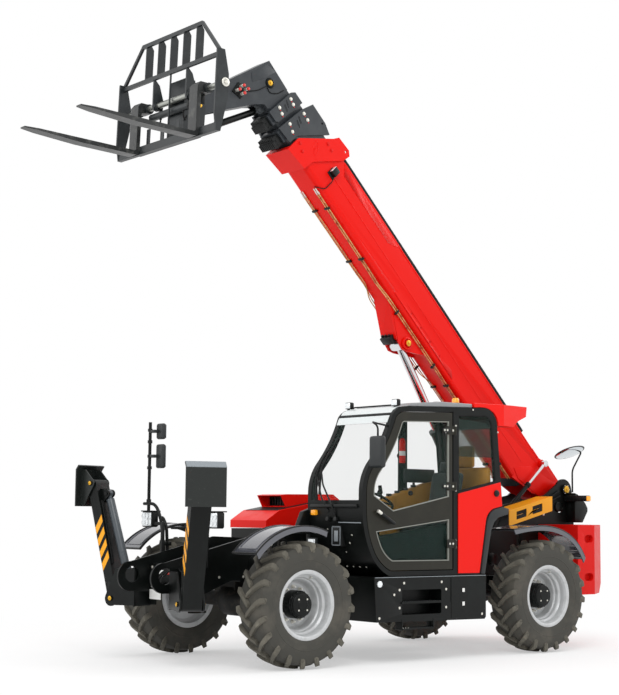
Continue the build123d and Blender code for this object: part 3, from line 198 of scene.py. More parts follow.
# Powder-coated steel: near black, satin, with a very fine pebble.
BLACK_COAT = Finish("black_powder_coat", "#090c0b", 0.36, specular=0.22, grain_mm=3, depth_mm=0.06,
                    second="#101413", share=0.5, patch_mm=300)
# Brown-black coat of the door, a shade lighter than the frame round it.
DOOR_COAT = Finish("door_powder_coat", "#24231c", 0.40, specular=0.26, grain_mm=3, depth_mm=0.05,
                   second="#2b2a22", share=0.5, patch_mm=260)
# Black-grey coat on the inner boom sections and the carriage, painted lighter than the frame's black because
# they catch more light: a painted highlight.
GREY_COAT = Finish("dark_grey_coat", "#2f3337", 0.36, specular=0.4, grain_mm=3, depth_mm=0.06,
                   second="#373b3e", share=0.5, patch_mm=200)
CARRIAGE_COAT = Finish("carriage_coat", "#212527", 0.36, specular=0.42, grain_mm=3, depth_mm=0.06,
                       second="#2c3032", share=0.5, patch_mm=180)
# Forged fork steel with its black varnish rubbed thin.
FORK_STEEL = Finish("fork_steel", "#242626", 0.34, specular=0.5, grain_mm=5, depth_mm=0.12,
                    second="#4c4d4a", share=0.35, patch_mm=90)
# Foot plates: coat scraped by the ground, so bare grey shows in streaks.
FOOT_STEEL = Finish("scraped_foot_plate", "#1b1f1d", 0.40, specular=0.4, grain_mm=4, depth_mm=0.2,
                    second="#3c413d", share=0.16, patch_mm=38)
# Pale grey steel edge: worn on the foot plate's bent lip, and a painted highlight on the tank's top lip where
# it catches the sky.
PALE_EDGE_STEEL = Finish("worn_lip", "#8f969b", 0.36, "silver", specular=0.4, grain_mm=4, depth_mm=0.1)
# Cast axle iron with primer and road dust.
AXLE_IRON = Finish("axle_iron", "#121211", 0.55, specular=0.25, grain_mm=3, depth_mm=0.25,
                   second="#2b2620", share=0.45, patch_mm=60)
# Tyre rubber: charcoal, matt, with a thin even film of pale dust that thickens in broad patches.
TYRE_RUBBER = Finish("tyre_rubber", "#45443f", 0.70, "tyre", specular=0.3, grain_mm=5, depth_mm=0.15,
                     second="#56534c", share=0.4, patch_mm=320)
# The lugs, paler than the carcass: partly scuffing, partly a painted highlight of their lit tops against the
# shaded grooves.
TREAD_RUBBER = Finish("tread_rubber", "#5f5c53", 0.72, "tyre", specular=0.3, grain_mm=5, depth_mm=0.2,
                      second="#7a766b", share=0.4, patch_mm=180)
# Rim paint: aluminium-coloured wheel lacquer.
RIM_LACQUER = Finish("silver_rim_lacquer", "#c6c8c9", 0.36, "silver", metallic=0.2, grain_mm=4, depth_mm=0.05,
                     second="#b6b8b8", share=0.4, patch_mm=90)
# Hard chrome on the piston rods.
ROD_CHROME = Finish("hard_chrome", "#dddfe1", 0.12, "chrome", metallic=1.0, grain_mm=30)
# Zinc-plated fasteners, with a faint yellow passivation.
ZINC = Finish("zinc_plate", "#e3e1d8", 0.36, "silver", metallic=0.6, grain_mm=20)
# Yellow-passivated pin heads.
GOLD_PIN = Finish("yellow_zinc_pin", "#d9a93a", 0.34, "brass", metallic=0.85, grain_mm=20)
# Satin ground steel of the fork shaft.
SHAFT_STEEL = Finish("ground_steel", "#a2a49e", 0.3, metallic=0.9, grain_mm=15)
# Copper-nickel hydraulic pipe, gone brown-gold.
PIPE_COPPER = Finish("copper_pipe", "#ddb273", 0.34, "brass", metallic=0.5, grain_mm=15,
                     second="#7b5227", share=0.5, patch_mm=70)
# Moulded grey polypropylene of the mudguards, polished, so it carries long white reflections.
GUARD_PLASTIC = Finish("grey_polypropylene", "#4a4c54", 0.14, "grey_plastic", specular=0.8, coat=0.7,
                       grain_mm=12, depth_mm=0.04)
# Moulded black plastic of lamps, mirrors and skirts.
BLACK_PLASTIC = Finish("black_moulding", "#121414", 0.42, "black_plastic", specular=0.3, grain_mm=2,
                       depth_mm=0.08)
# Charcoal moulding of the arch trim and the mirror backs, a little lighter.
GREY_PLASTIC = Finish("charcoal_moulding", "#2c2f30", 0.42, "black_plastic", specular=0.35, grain_mm=2,
                      depth_mm=0.1)
# Rubber window seals, hoses and the boom's hose track.
SEAL_RUBBER = Finish("seal_rubber", "#0d0e0e", 0.6, "black_plastic", specular=0.25, grain_mm=2, depth_mm=0.05)
# Grey-white edge round each door pane: a painted highlight for the light caught by the black rubber gasket.
PANE_GASKET_HIGHLIGHT = Finish("pane_bead", "#8b8d86", 0.5, "black_plastic", specular=0.3, grain_mm=4, depth_mm=0.05)
# Yellow machine enamel of the guard and the warning stripes.
YELLOW_ENAMEL = Finish("yellow_enamel", "#f5a613", 0.36, "yellow", specular=0.3, coat=0.15, grain_mm=6,
                       depth_mm=0.04)
# Grey roof moulding.
ROOF_GREY = Finish("roof_grey_moulding", "#8f9294", 0.34, "roof_grey", coat=0.2, grain_mm=5, depth_mm=0.05)
# Toughened cab glass, slightly green.
CAB_GLASS = Finish("toughened_glass", "#5f7a70", 0.03, "glass", specular=0.5, alpha=0.045, grain_mm=400)
# Dark sheet inside the lower door pane: painted shade for the dark lower cab seen through it. Smoke tint film
# behind the quarter window's top.
PAINTED_SHADE_GLASS = Finish("dark_tint", "#071413", 0.15, "glass", specular=0.06, alpha=0.90, grain_mm=400)
SMOKE_GLASS = Finish("smoke_tint", "#1c2824", 0.10, "glass", specular=0.15, alpha=0.55, grain_mm=400)
# Pale band over the top of the windscreen, clouded with small dots.
TOP_BAND = Finish("windscreen_band", "#e4eaea", 0.10, "glass", specular=0.5, grain_mm=60)
# Grey enamel of the stabiliser cylinders.
BARREL_GREY = Finish("barrel_enamel", "#474d52", 0.30, specular=0.45, grain_mm=6, depth_mm=0.04)
# Woven seat cloth.
SEAT_CLOTH = Finish("seat_cloth", "#2b3434", 0.85, "seat", grain_mm=1.6, depth_mm=0.4, sheen=0.3,
                    second="#39423f", share=0.4, patch_mm=60)
# Tan moulded interior trim.
TAN_TRIM = Finish("tan_trim", "#b98530", 0.6, "tan", specular=0.3, grain_mm=2, depth_mm=0.1,
                  second="#8c6527", share=0.4, patch_mm=150)
# Lamp lenses and reflectors, blank plates and mirror glass. The three lens finishes carry a small painted
# glow. On the caps, the reflector, the sight cap and the gauge pane that also wear them it is painted light,
# as these are no lamps.
AMBER_LENS = Finish("amber_lens", "#f5a01c", 0.16, "yellow", coat=0.6, grain_mm=30, glow=0.3)
RED_LENS = Finish("red_lens", "#c8160f", 0.18, "red", coat=0.6, grain_mm=30, glow=0.1)
CLEAR_LENS = Finish("lamp_reflector", "#e6eaec", 0.14, "glass", metallic=0.5, grain_mm=30, glow=0.15)
WHITE_ENAMEL = Finish("white_plate", "#efefec", 0.4, "silver", grain_mm=20)
MIRROR_GLASS = Finish("mirror_glass", "#cdd3d6", 0.04, "chrome", metallic=1.0, grain_mm=100)


# ---------------------------------------------------------------- shapes
class Across(Enum):
    """The axis of its frame that a flat plate is square to."""

    Y = 1
    Z = 2


@dataclass
class Shape:
    """A piece in the making: forms are added in its frame to one mesh, which the workshop delivers.

    The name, the finish, the body and the slot are the piece's own.  A mirrored piece has all its forms
    on both sides of the machine.  It hides the CAD nodes that it stands for, and edges sharper than the
    smoothing angle, in degrees, stay sharp.
    """

    name: str
    surface: Finish
    body: str
    slot: str
    at: Matrix
    mirrored: bool = False
    replaces: Sequence[str] = ()
    smooth: float = 38.0
    mesh: bmesh.types.BMesh = field(default_factory=bmesh.new)

    def _soften(self, faces: Iterable[bmesh.types.BMFace], width: float, segments: int = 2) -> None:
        """Rounds the sharp edges round the given faces."""
        if width <= 0:
            return
        self.mesh.normal_update()
        sharp = {e for f in faces for e in f.edges if len(e.link_faces) == 2 and e.calc_face_angle(0) > 0.5}
        bmesh.ops.bevel(self.mesh, geom=list(sharp), offset=width, offset_type="OFFSET", segments=segments,
                        profile=0.5, affect="EDGES", clamp_overlap=True, material=-1)

    def block(self, low: Point, high: Point, soft: float = 0.002, turn: Matrix | None = None,
              segments: int = 2) -> None:
        """Adds a box between two corners, with softened edges.

        Args:
            low: its lowest corner.
            high: its highest corner.
            soft: how far its edges are rounded.
            turn: a turn about its own middle.
            segments: how many facets the rounding has.
        """
        size = Vector(high) - Vector(low)
        centre = (Vector(high) + Vector(low)) / 2
        made = bmesh.ops.create_cube(self.mesh, size=1.0, matrix=self.at @ Matrix.Translation(centre)
                                     @ (turn or Matrix()) @ Matrix.Diagonal((*size, 1.0)))
        self._soften({f for v in made["verts"] for f in v.link_faces}, soft, segments)

    def rod(self, start: Point, end: Point, radius: float, sides: int = 24, soft: float = 0.0,
            tip: float | None = None) -> None:
        """Adds a round bar between two points; tip is its radius at the end."""
        a, b = Vector(start), Vector(end)
        turn = (b - a).to_track_quat("Z", "Y").to_matrix().to_4x4()
        made = bmesh.ops.create_cone(self.mesh, cap_ends=True, segments=sides, radius1=radius,
                                     radius2=radius if tip is None else tip, depth=(b - a).length,
                                     matrix=self.at @ Matrix.Translation((a + b) / 2) @ turn)
        caps = [f for f in {f for v in made["verts"] for f in v.link_faces} if len(f.verts) > 4]
        self._soften(caps, soft)

    def lathe(self, profile: Sequence[tuple[float, float]], centre: Point = (0, 0, 0), sides: int = 64,
              axis: Point = OUTWARD, closed: bool = False) -> None:
        """Spins a profile of (along, radius) points about an axis.

        Args:
            profile: distances along the axis and radii.
            centre: the point where the axis distance is nought.
            sides: how many steps make the full turn.
            axis: the axis direction.
            closed: whether the profile is a closed ring.
        """
        at = self.at @ Matrix.Translation(centre) @ Vector(axis).to_track_quat("Z", "Y").to_matrix().to_4x4()
        verts = [self.mesh.verts.new(at @ Vector((radius, 0, along))) for along, radius in profile]
        edges = [self.mesh.edges.new(pair) for pair in zip(verts, verts[1:])]
        if closed:
            edges.append(self.mesh.edges.new((verts[-1], verts[0])))
        bmesh.ops.spin(self.mesh, geom=verts + edges, cent=at.translation, angle=tau, steps=sides,
                       axis=at.to_3x3() @ Vector((0, 0, 1)), use_merge=True, use_duplicate=False)

    def ring(self, inner: float, outer: float, height: float, centre: Point, sides: int = 64,
             axis: Point = OUTWARD) -> None:
        """Adds a flat ring."""
        self.lathe([(0, inner), (0, outer), (height, outer), (height, inner)], centre, sides, axis, True)

    def disc(self, radius: float, edge: float, top: float, height: float, centre: Point, sides: int = 64,
             axis: Point = OUTWARD) -> None:
        """Adds a disc that keeps its radius up to its edge and tapers to its top radius at its height."""
        self.lathe([(0, 0), (0, radius), (edge, radius), (height, top), (height, 0)], centre, sides, axis)

    def pin(self, centre: Point, radius: float, height: float = 0.008, axis: Point = OUTWARD) -> None:
        """Adds a pin's head: a chamfered disc with a small bolt in its middle."""
        self.disc(radius, height * 0.6, radius * 0.82, height, centre, 32, axis)
        rise = Vector(axis).normalized() * height
        middle = Vector(centre) + rise
        self.rod(middle, middle + rise, radius * 0.34, 6, 0.0006)

    def prism(self, outline: Sequence[tuple[float, float]], low: float, high: float,
              soft: float = 0.002, across: Across = Across.Y) -> None:
        """Adds a flat plate: its outline in the frame's other two axes, between two values of this one."""
        def place(a: float, b: float, c: float) -> Vector:
            """Puts the plate's own axis where it belongs."""
            return Vector((a, c, b) if across is Across.Y else (a, b, c))

        verts = [self.mesh.verts.new(self.at @ place(a, b, low)) for a, b in outline]
        pulled = bmesh.ops.extrude_face_region(self.mesh, geom=[self.mesh.faces.new(verts)])
        moved = [v for v in pulled["geom"] if isinstance(v, bmesh.types.BMVert)]
        bmesh.ops.translate(self.mesh, vec=self.at.to_3x3() @ place(0, 0, high - low), verts=moved)
        faces = {f for v in verts + moved for f in v.link_faces}
        bmesh.ops.recalc_face_normals(self.mesh, faces=list(faces))
        self._soften(faces, soft)

    def bolts(self, places: Iterable[Point], radius: float = 0.009, height: float = 0.007,
              out: Point = OUTWARD) -> None:
        """Adds a hexagon bolt head on a washer at each place."""
        n = Vector(out).normalized()
        for place in places:
            p = Vector(place)
            self.rod(p, p + n * height * 0.3, radius * 1.35, 14)
            self.rod(p, p + n * height, radius, 6, 0.0008)

    def twin(self) -> None:
        """Adds everything so far again on the machine's other side."""
        bmesh.ops.mirror(self.mesh, geom=self.mesh.verts[:] + self.mesh.edges[:] + self.mesh.faces[:],
                         matrix=Matrix(), merge_dist=-1.0, axis="Y")

    def deliver(self) -> None:
        """Turns the mesh into a piece that rides on its body."""
        if self.mirrored:
            self.twin()
        bmesh.ops.remove_doubles(self.mesh, verts=self.mesh.verts, dist=1e-6)
        settle(self.name, self.mesh, self.surface, self.smooth, self.body, self.replaces)


def add_object(name: str, data: bpy.types.ID) -> bpy.types.Object:
    """Links a new object for its data."""
    piece = bpy.data.objects.new(name, data)
    bpy.context.scene.collection.objects.link(piece)
    return piece


def register(piece: bpy.types.Object, body: str, replaces: Sequence[str] = ()) -> None:
    """Puts a piece on its body, and hides the nodes that it stands for."""
    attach(piece, body)
    if replaces:
        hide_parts(*replaces)
    LOG.info("%s on %s", piece.name, body)


def settle(name: str, work: bmesh.types.BMesh, finish: Finish, smooth: float, body: str,
           replaces: Sequence[str] = ()) -> None:
    """Makes a smooth-shaded piece from a mesh in the making, and frees that.

    Args:
        name: the piece's name.
        work: the mesh.
        finish: its finish.
        smooth: edges sharper than this angle stay sharp, in degrees.
        body: the body it rides on.
        replaces: CAD nodes it stands for.
    """
    bmesh.ops.recalc_face_normals(work, faces=work.faces)
    data = bpy.data.meshes.new(name)
    work.to_mesh(data)
    work.free()
    data.shade_smooth()
    data.set_sharp_from_angle(angle=radians(smooth))
    data.materials.append(finish.build())
    register(add_object(name, data), body, replaces)


@dataclass
class Workshop:
    """What every sub-assembly needs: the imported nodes, their bodies and their slots."""

    nodes: dict[str, bpy.types.Object]
    body_of: dict[str, str]
    slot_of: dict[str, str]
    joints: dict[str, dict]
    shapes: list[Shape] = field(default_factory=list)

    @classmethod
    def open(cls, frame: dict) -> "Workshop":
        """Reads the loaded frame."""
        record = frame["record"]
        bodies = {node: body for body, nodes in record["behaviour"]["bodies"].items() for node in nodes}
        slots = {entry["node"]: entry["material_slot"] for entry in record["subparts"]}
        return cls(frame["nodes"], bodies, slots, {j["name"]: j for j in frame["joints"]})

    def deliver(self) -> None:
        """Turns every shape into its piece, in the order they were started."""
        for shape in self.shapes:
            shape.deliver()

    def paint(self, finish: Finish, *nodes: str) -> None:
        """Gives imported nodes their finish."""
        for node in nodes:
            data = self.nodes[node].data
            data.materials.clear()
            data.materials.append(finish.build())

    def merged(self, node: str) -> bmesh.types.BMesh:
        """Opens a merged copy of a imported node's mesh."""
        work = bmesh.new()
        work.from_mesh(self.nodes[node].data)
        bmesh.ops.remove_doubles(work, verts=work.verts, dist=2e-5)
        bmesh.ops.dissolve_limit(work, angle_limit=radians(1.0), verts=work.verts, edges=work.edges)
        return work

    def dress(self, finish: Finish, edge_mm: float, *nodes: str) -> None:
        """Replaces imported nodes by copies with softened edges.

        Args:
            finish: the copies' finish.
            edge_mm: the width of the softened edges.
            nodes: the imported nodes.
        """
        for node in nodes:
            data = bpy.data.meshes.new(node + "_dressed")
            work = self.merged(node)
            work.to_mesh(data)
            work.free()
            piece = add_object(node + "_dressed", data)
            data.shade_smooth()
            data.set_sharp_from_angle(angle=radians(32))
            data.materials.append(finish.build())
            edge = piece.modifiers.new("edge", "BEVEL")
            edge.width = edge_mm * MM
            edge.segments = 2
            edge.limit_method = "ANGLE"
            edge.angle_limit = radians(40)
            edge.harden_normals = True
            register(piece, self.body_of[node], (node,))

    def gasket(self, node: str, out: Point, width: float, height: float, finish: Finish) -> None:
        """Makes the frame round each pane of a glass node from the pane's own outward face.

        Args:
            node: the glass node.
            out: the direction that the panes face.
            width: how far the frame reaches over the pane.
            height: how far it stands off the pane.
            finish: its finish.
        """
        work = self.merged(node)
        n = Vector(out)
        work.normal_update()
        top = max(v.co.dot(n) for v in work.verts)
        inner = [f for f in work.faces
                 if f.normal.dot(n) <= 0.99 or f.calc_center_median().dot(n) <= top - 0.002]
        bmesh.ops.delete(work, geom=inner, context="FACES")
        rim = bmesh.ops.inset_region(work, faces=work.faces[:], thickness=width, use_boundary=True,
                                     use_even_offset=True)["faces"]
        bmesh.ops.delete(work, geom=[f for f in work.faces if f not in set(rim)], context="FACES")
        pulled = bmesh.ops.extrude_face_region(work, geom=work.faces[:])
        raised = [v for v in pulled["geom"] if isinstance(v, bmesh.types.BMVert)]
        bmesh.ops.translate(work, vec=n * height, verts=raised)
        bmesh.ops.recalc_face_normals(work, faces=work.faces)
        name = f"{node}_gasket_{'left' if n.y > 0 else 'right'}"
        data = bpy.data.meshes.new(name)
        work.to_mesh(data)
        work.free()
        data.materials.append(finish.build())
        register(add_object(name, data), self.body_of[node])


@dataclass
class Assembly:
    """A sub-assembly, with the body and the frame that most of its pieces have."""

    shop: Workshop
    body: str = field(default="machine", init=False)
    at: Matrix = field(default_factory=Matrix, init=False)

    def piece(self, name: str, finish: Finish, body: str = "", slot: str = "", at: Matrix | None = None,
              twin: bool = False, replaces: Sequence[str] = (), smooth: float = 38.0) -> Shape:
        """Starts a piece, which the workshop delivers at the end.

        Args:
            name: the piece's name.
            finish: its finish.
            body: the body it rides on, if it isn't the assembly's.
            slot: the record's material slot, if it isn't the finish's.
            at: its frame, if it isn't the assembly's.
            twin: whether its forms are on both sides of the machine.
            replaces: CAD nodes it stands for.
            smooth: edges sharper than this angle stay sharp, in degrees.

        Returns:
            The shape to add forms to.
        """
        made = Shape(name, finish, body or self.body, slot or finish.slot, at or self.at, twin, replaces,
                     smooth)
        self.shop.shapes.append(made)
        return made

    def pipes(self, name: str, finish: Finish, routes: Sequence[Sequence[Point]], radius: float,
              bend: float = 0.03, body: str = "", replaces: Sequence[str] = ()) -> None:
        """Makes bent pipes or bars through their points, with rounded corners.

        Args:
            name: the piece's name.
            finish: its finish.
            routes: the corners of each pipe's route, in the assembly's frame.
            radius: half its thickness.
            bend: how far from a corner its bend starts.
            body: the body it rides on, if it isn't the assembly's.
            replaces: CAD nodes it stands for.
        """
        curve = bpy.data.curves.new(name, "CURVE")
        curve.dimensions, curve.use_fill_caps = "3D", True
        curve.bevel_depth, curve.bevel_resolution = radius, 3
        for points in routes:
            route = [self.at @ Vector(p) for p in points]
            ends: list[tuple[Vector, Vector, Vector]] = [(route[0],) * 3]
            for before, corner, after in zip(route, route[1:], route[2:]):
                reach = min(bend, (before - corner).length * 0.45, (after - corner).length * 0.45)
                one = corner + (before - corner).normalized() * reach
                two = corner + (after - corner).normalized() * reach
                ends += [(one, one, one.lerp(corner, 0.6)), (two, two.lerp(corner, 0.6), two)]
            ends.append((route[-1],) * 3)
            spline = curve.splines.new("BEZIER")
            spline.bezier_points.add(len(ends) - 1)
            for point, (place, left, right) in zip(spline.bezier_points, ends):
                point.co, point.handle_left, point.handle_right = place, left, right
            spline.resolution_u = 5
        holder = add_object(name + "_route", curve)
        swept = bpy.data.meshes.new_from_object(holder.evaluated_get(bpy.context.evaluated_depsgraph_get()))
        bpy.data.objects.remove(holder)
        work = bmesh.new()
        work.from_mesh(swept)
        bpy.data.meshes.remove(swept)
        bmesh.ops.remove_doubles(work, verts=work.verts, dist=1e-6)
        settle(name, work, finish, 50, body or self.body, replaces)


# ---------------------------------------------------------------- wheels
@dataclass
class RoadWheel(Assembly):
    """A lugged tyre on a silver rim with its planetary hub."""

    tag: str
    lug_count: int = 20
    tyre_radius: float = 0.618
    lug_height: float = 0.036
    tyre_width: float = 0.392
    bead: float = 0.305
    lead: int = field(default=1, init=False)    # which way round the wheel the lugs lead

    def __post_init__(self) -> None:
        """Sets up the wheel's frame: x outboard, z up."""
        centre = Vector(self.shop.joints["spin_" + self.tag]["pos_m"])
        left = centre.y > 0
        self.body = "wheel_" + self.tag
        self.at = Matrix.Translation(centre) @ Matrix.Rotation(pi / 2 if left else -pi / 2, 4, "Z")
        # the tread points the same way on both sides
        self.lead = -1 if left else 1

    def build(self) -> None:
        """Makes the tyre, the rim and the hub."""
        self.tyre()
        self.rim()
        self.hub()

    def tyre(self) -> None:
        """Spins the carcass and lays the lugs on it."""
        shape = self.piece(f"tyre_{self.tag}_rubber", TYRE_RUBBER, replaces=(f"tyre_{self.tag}",), smooth=26)
        r, half, bead = self.tyre_radius - self.lug_height, self.tyre_width / 2, self.bead
        outer = [(0.157, bead), (0.16, bead + 0.012), (0.167, bead + 0.018), (0.165, bead + 0.03),
                 (0.178, bead + 0.052), (half - 0.014, 0.395), (half - 0.009, 0.43), (half - 0.006, 0.433),
                 (half - 0.006, 0.437), (half - 0.008, 0.44), (half - 0.006, 0.475), (half - 0.01, 0.508),
                 (half - 0.016, 0.53), (half - 0.028, r - 0.02), (0.14, r - 0.01), (0.09, r - 0.002),
                 (0.035, r)]
        inner = [(0.131, bead), (0.15, 0.4), (0.155, 0.47), (0.12, r - 0.05), (0.0, r - 0.045)]
        ring = outer + [(-x, z) for x, z in reversed(outer)]
        hollow = inner + [(-x, z) for x, z in reversed(inner[:-1])]
        shape.lathe(ring + list(reversed(hollow)), sides=96, axis=FORWARD, closed=True)
        # the lugs are a separate paler piece: partly scuffing, partly a painted highlight on their lit tops
        # against the shaded grooves
        tread = self.piece(f"tread_{self.tag}", TREAD_RUBBER, smooth=26)
        for turn in range(self.lug_count):
            for mirror, shift in ((1, 0.0), (-1, 0.5)):
                self.lug(tread, (turn + shift) * tau / self.lug_count, mirror)

    def lug(self, shape: Shape, turn: float, mirror: int) -> None:
        """Lays one bent lug: sections across the tread, bridged in order.

        Args:
            shape: the mesh it goes into.
            turn: where it stands round the tyre.
            mirror: which half of the tread, 1 outboard and -1 inboard.
        """
        r = self.tyre_radius
        # across, lead along the tread, top radius, foot radius, half width at the top and at the foot
        stations = ((-0.016, 0.092, r - 0.002, r - 0.046, 0.02, 0.027),
                    (0.0, 0.078, r - 0.001, r - 0.046, 0.021, 0.028),
                    (0.04, 0.044, r - 0.001, r - 0.046, 0.021, 0.029),
                    (0.08, 0.01, r - 0.002, r - 0.047, 0.022, 0.03),
                    (0.118, -0.02, r - 0.005, r - 0.052, 0.023, 0.032),
                    (0.15, -0.042, r - 0.01, r - 0.06, 0.025, 0.034),
                    (0.178, -0.058, r - 0.018, r - 0.076, 0.027, 0.036),
                    (0.191, -0.064, r - 0.04, r - 0.1, 0.026, 0.034),
                    (0.194, -0.067, r - 0.07, r - 0.118, 0.019, 0.026),
                    (0.188, -0.068, r - 0.1, r - 0.124, 0.01, 0.016))
        loops = []
        for across, lead, top, foot, wide_top, wide_foot in stations:
            corners = ((foot, -wide_foot), (top - 0.004, -wide_top - 0.001), (top, 0.003 - wide_top),
                       (top, wide_top - 0.003), (top - 0.004, wide_top + 0.001), (foot, wide_foot))
            ring = []
            for radius, offset in corners:
                angle = turn + (self.lead * lead + offset) / r
                x = across - (0.012 if radius == foot and across > 0.17 else 0.0)
                place = Vector((mirror * x, radius * sin(angle), radius * cos(angle)))
                ring.append(shape.mesh.verts.new(self.at @ place))
            loops.append([shape.mesh.edges.new((a, b)) for a, b in zip(ring, ring[1:] + ring[:1])])
        for one, two in zip(loops, loops[1:]):
            bmesh.ops.bridge_loops(shape.mesh, edges=one + two)
        for ends in (loops[0], loops[-1]):
            bmesh.ops.contextual_create(shape.mesh, geom=ends)

    def rim(self) -> None:
        """Spins the rim's stepped profile and adds the valve."""
        shape = self.piece(f"rim_{self.tag}_silver", RIM_LACQUER, replaces=(f"wheel_{self.tag}",), smooth=24)
        half, bead = 0.173, self.bead
        profile = [(half, 0.334), (half - 0.002, 0.339), (half - 0.006, 0.341), (half - 0.01, 0.338),
                   (half - 0.014, bead), (0.07, bead - 0.004), (0.04, bead - 0.042), (-0.07, bead - 0.042),
                   (-0.09, bead - 0.004), (0.014 - half, bead), (0.01 - half, 0.338), (0.004 - half, 0.341),
                   (-half, 0.338), (-half, bead - 0.012), (-0.096, bead - 0.018), (-0.078, bead - 0.054),
                   (-0.078, 0.13), (-0.062, 0.13), (-0.062, 0.195), (-0.058, 0.21), (-0.046, 0.224),
                   (-0.02, 0.236), (0.012, 0.241), (0.022, 0.244), (0.03, 0.25), (0.036, 0.258),
                   (0.046, 0.262), (0.062, 0.264), (0.07, 0.268), (0.08, 0.281), (0.09, 0.287),
                   (0.132, 0.289), (0.142, 0.293), (half - 0.01, 0.301), (half - 0.003, 0.312), (half, 0.322)]
        shape.lathe(profile, sides=96, axis=FORWARD, closed=True)
        valve = self.piece(f"wheel_nuts_{self.tag}", ZINC)
        valve.rod((0.05, 0.1, 0.245), (0.094, 0.104, 0.262), 0.007, 12)
        valve.rod((0.094, 0.104, 0.262), (0.106, 0.105, 0.266), 0.01, 8)
        studs = [(-0.06, 0.168 * sin(i * tau / 12), 0.168 * cos(i * tau / 12)) for i in range(12)]
        for x, y, z in studs:
            valve.rod((x, y, z), (x + 0.006, y, z), 0.019, 18)
            valve.rod((x, y, z), (x + 0.026, y, z), 0.014, 6, 0.001)
            valve.rod((x, y, z), (x + 0.044, y, z), 0.008, 10)

    def hub(self) -> None:
        """Spins the black planetary hub and bolts its cover."""
        shape = self.piece(f"hub_{self.tag}_black", BLACK_COAT, slot="silver", smooth=30)
        profile = [(-0.152, 0.0), (-0.152, 0.1), (-0.078, 0.1), (-0.078, 0.136), (0.048, 0.136),
                   (0.056, 0.132), (0.06, 0.126), (0.076, 0.124), (0.08, 0.118), (0.094, 0.116), (0.1, 0.11),
                   (0.104, 0.1), (0.106, 0.06), (0.112, 0.054), (0.112, 0.0)]
        shape.lathe(profile, sides=72, axis=FORWARD)
        for i in range(16):
            y, z = sin(i * tau / 16), cos(i * tau / 16)
            shape.bolts([(0.06, 0.1285 * y, 0.1285 * z)], 0.0055, 0.008, out=FORWARD)
        plugs = self.piece(f"hub_plugs_{self.tag}", ZINC)
        plugs.bolts([(0.104, 0.074 * sin((i + 0.5) * tau / 4), 0.074 * cos((i + 0.5) * tau / 4))
                     for i in range(4)], 0.007, out=FORWARD)


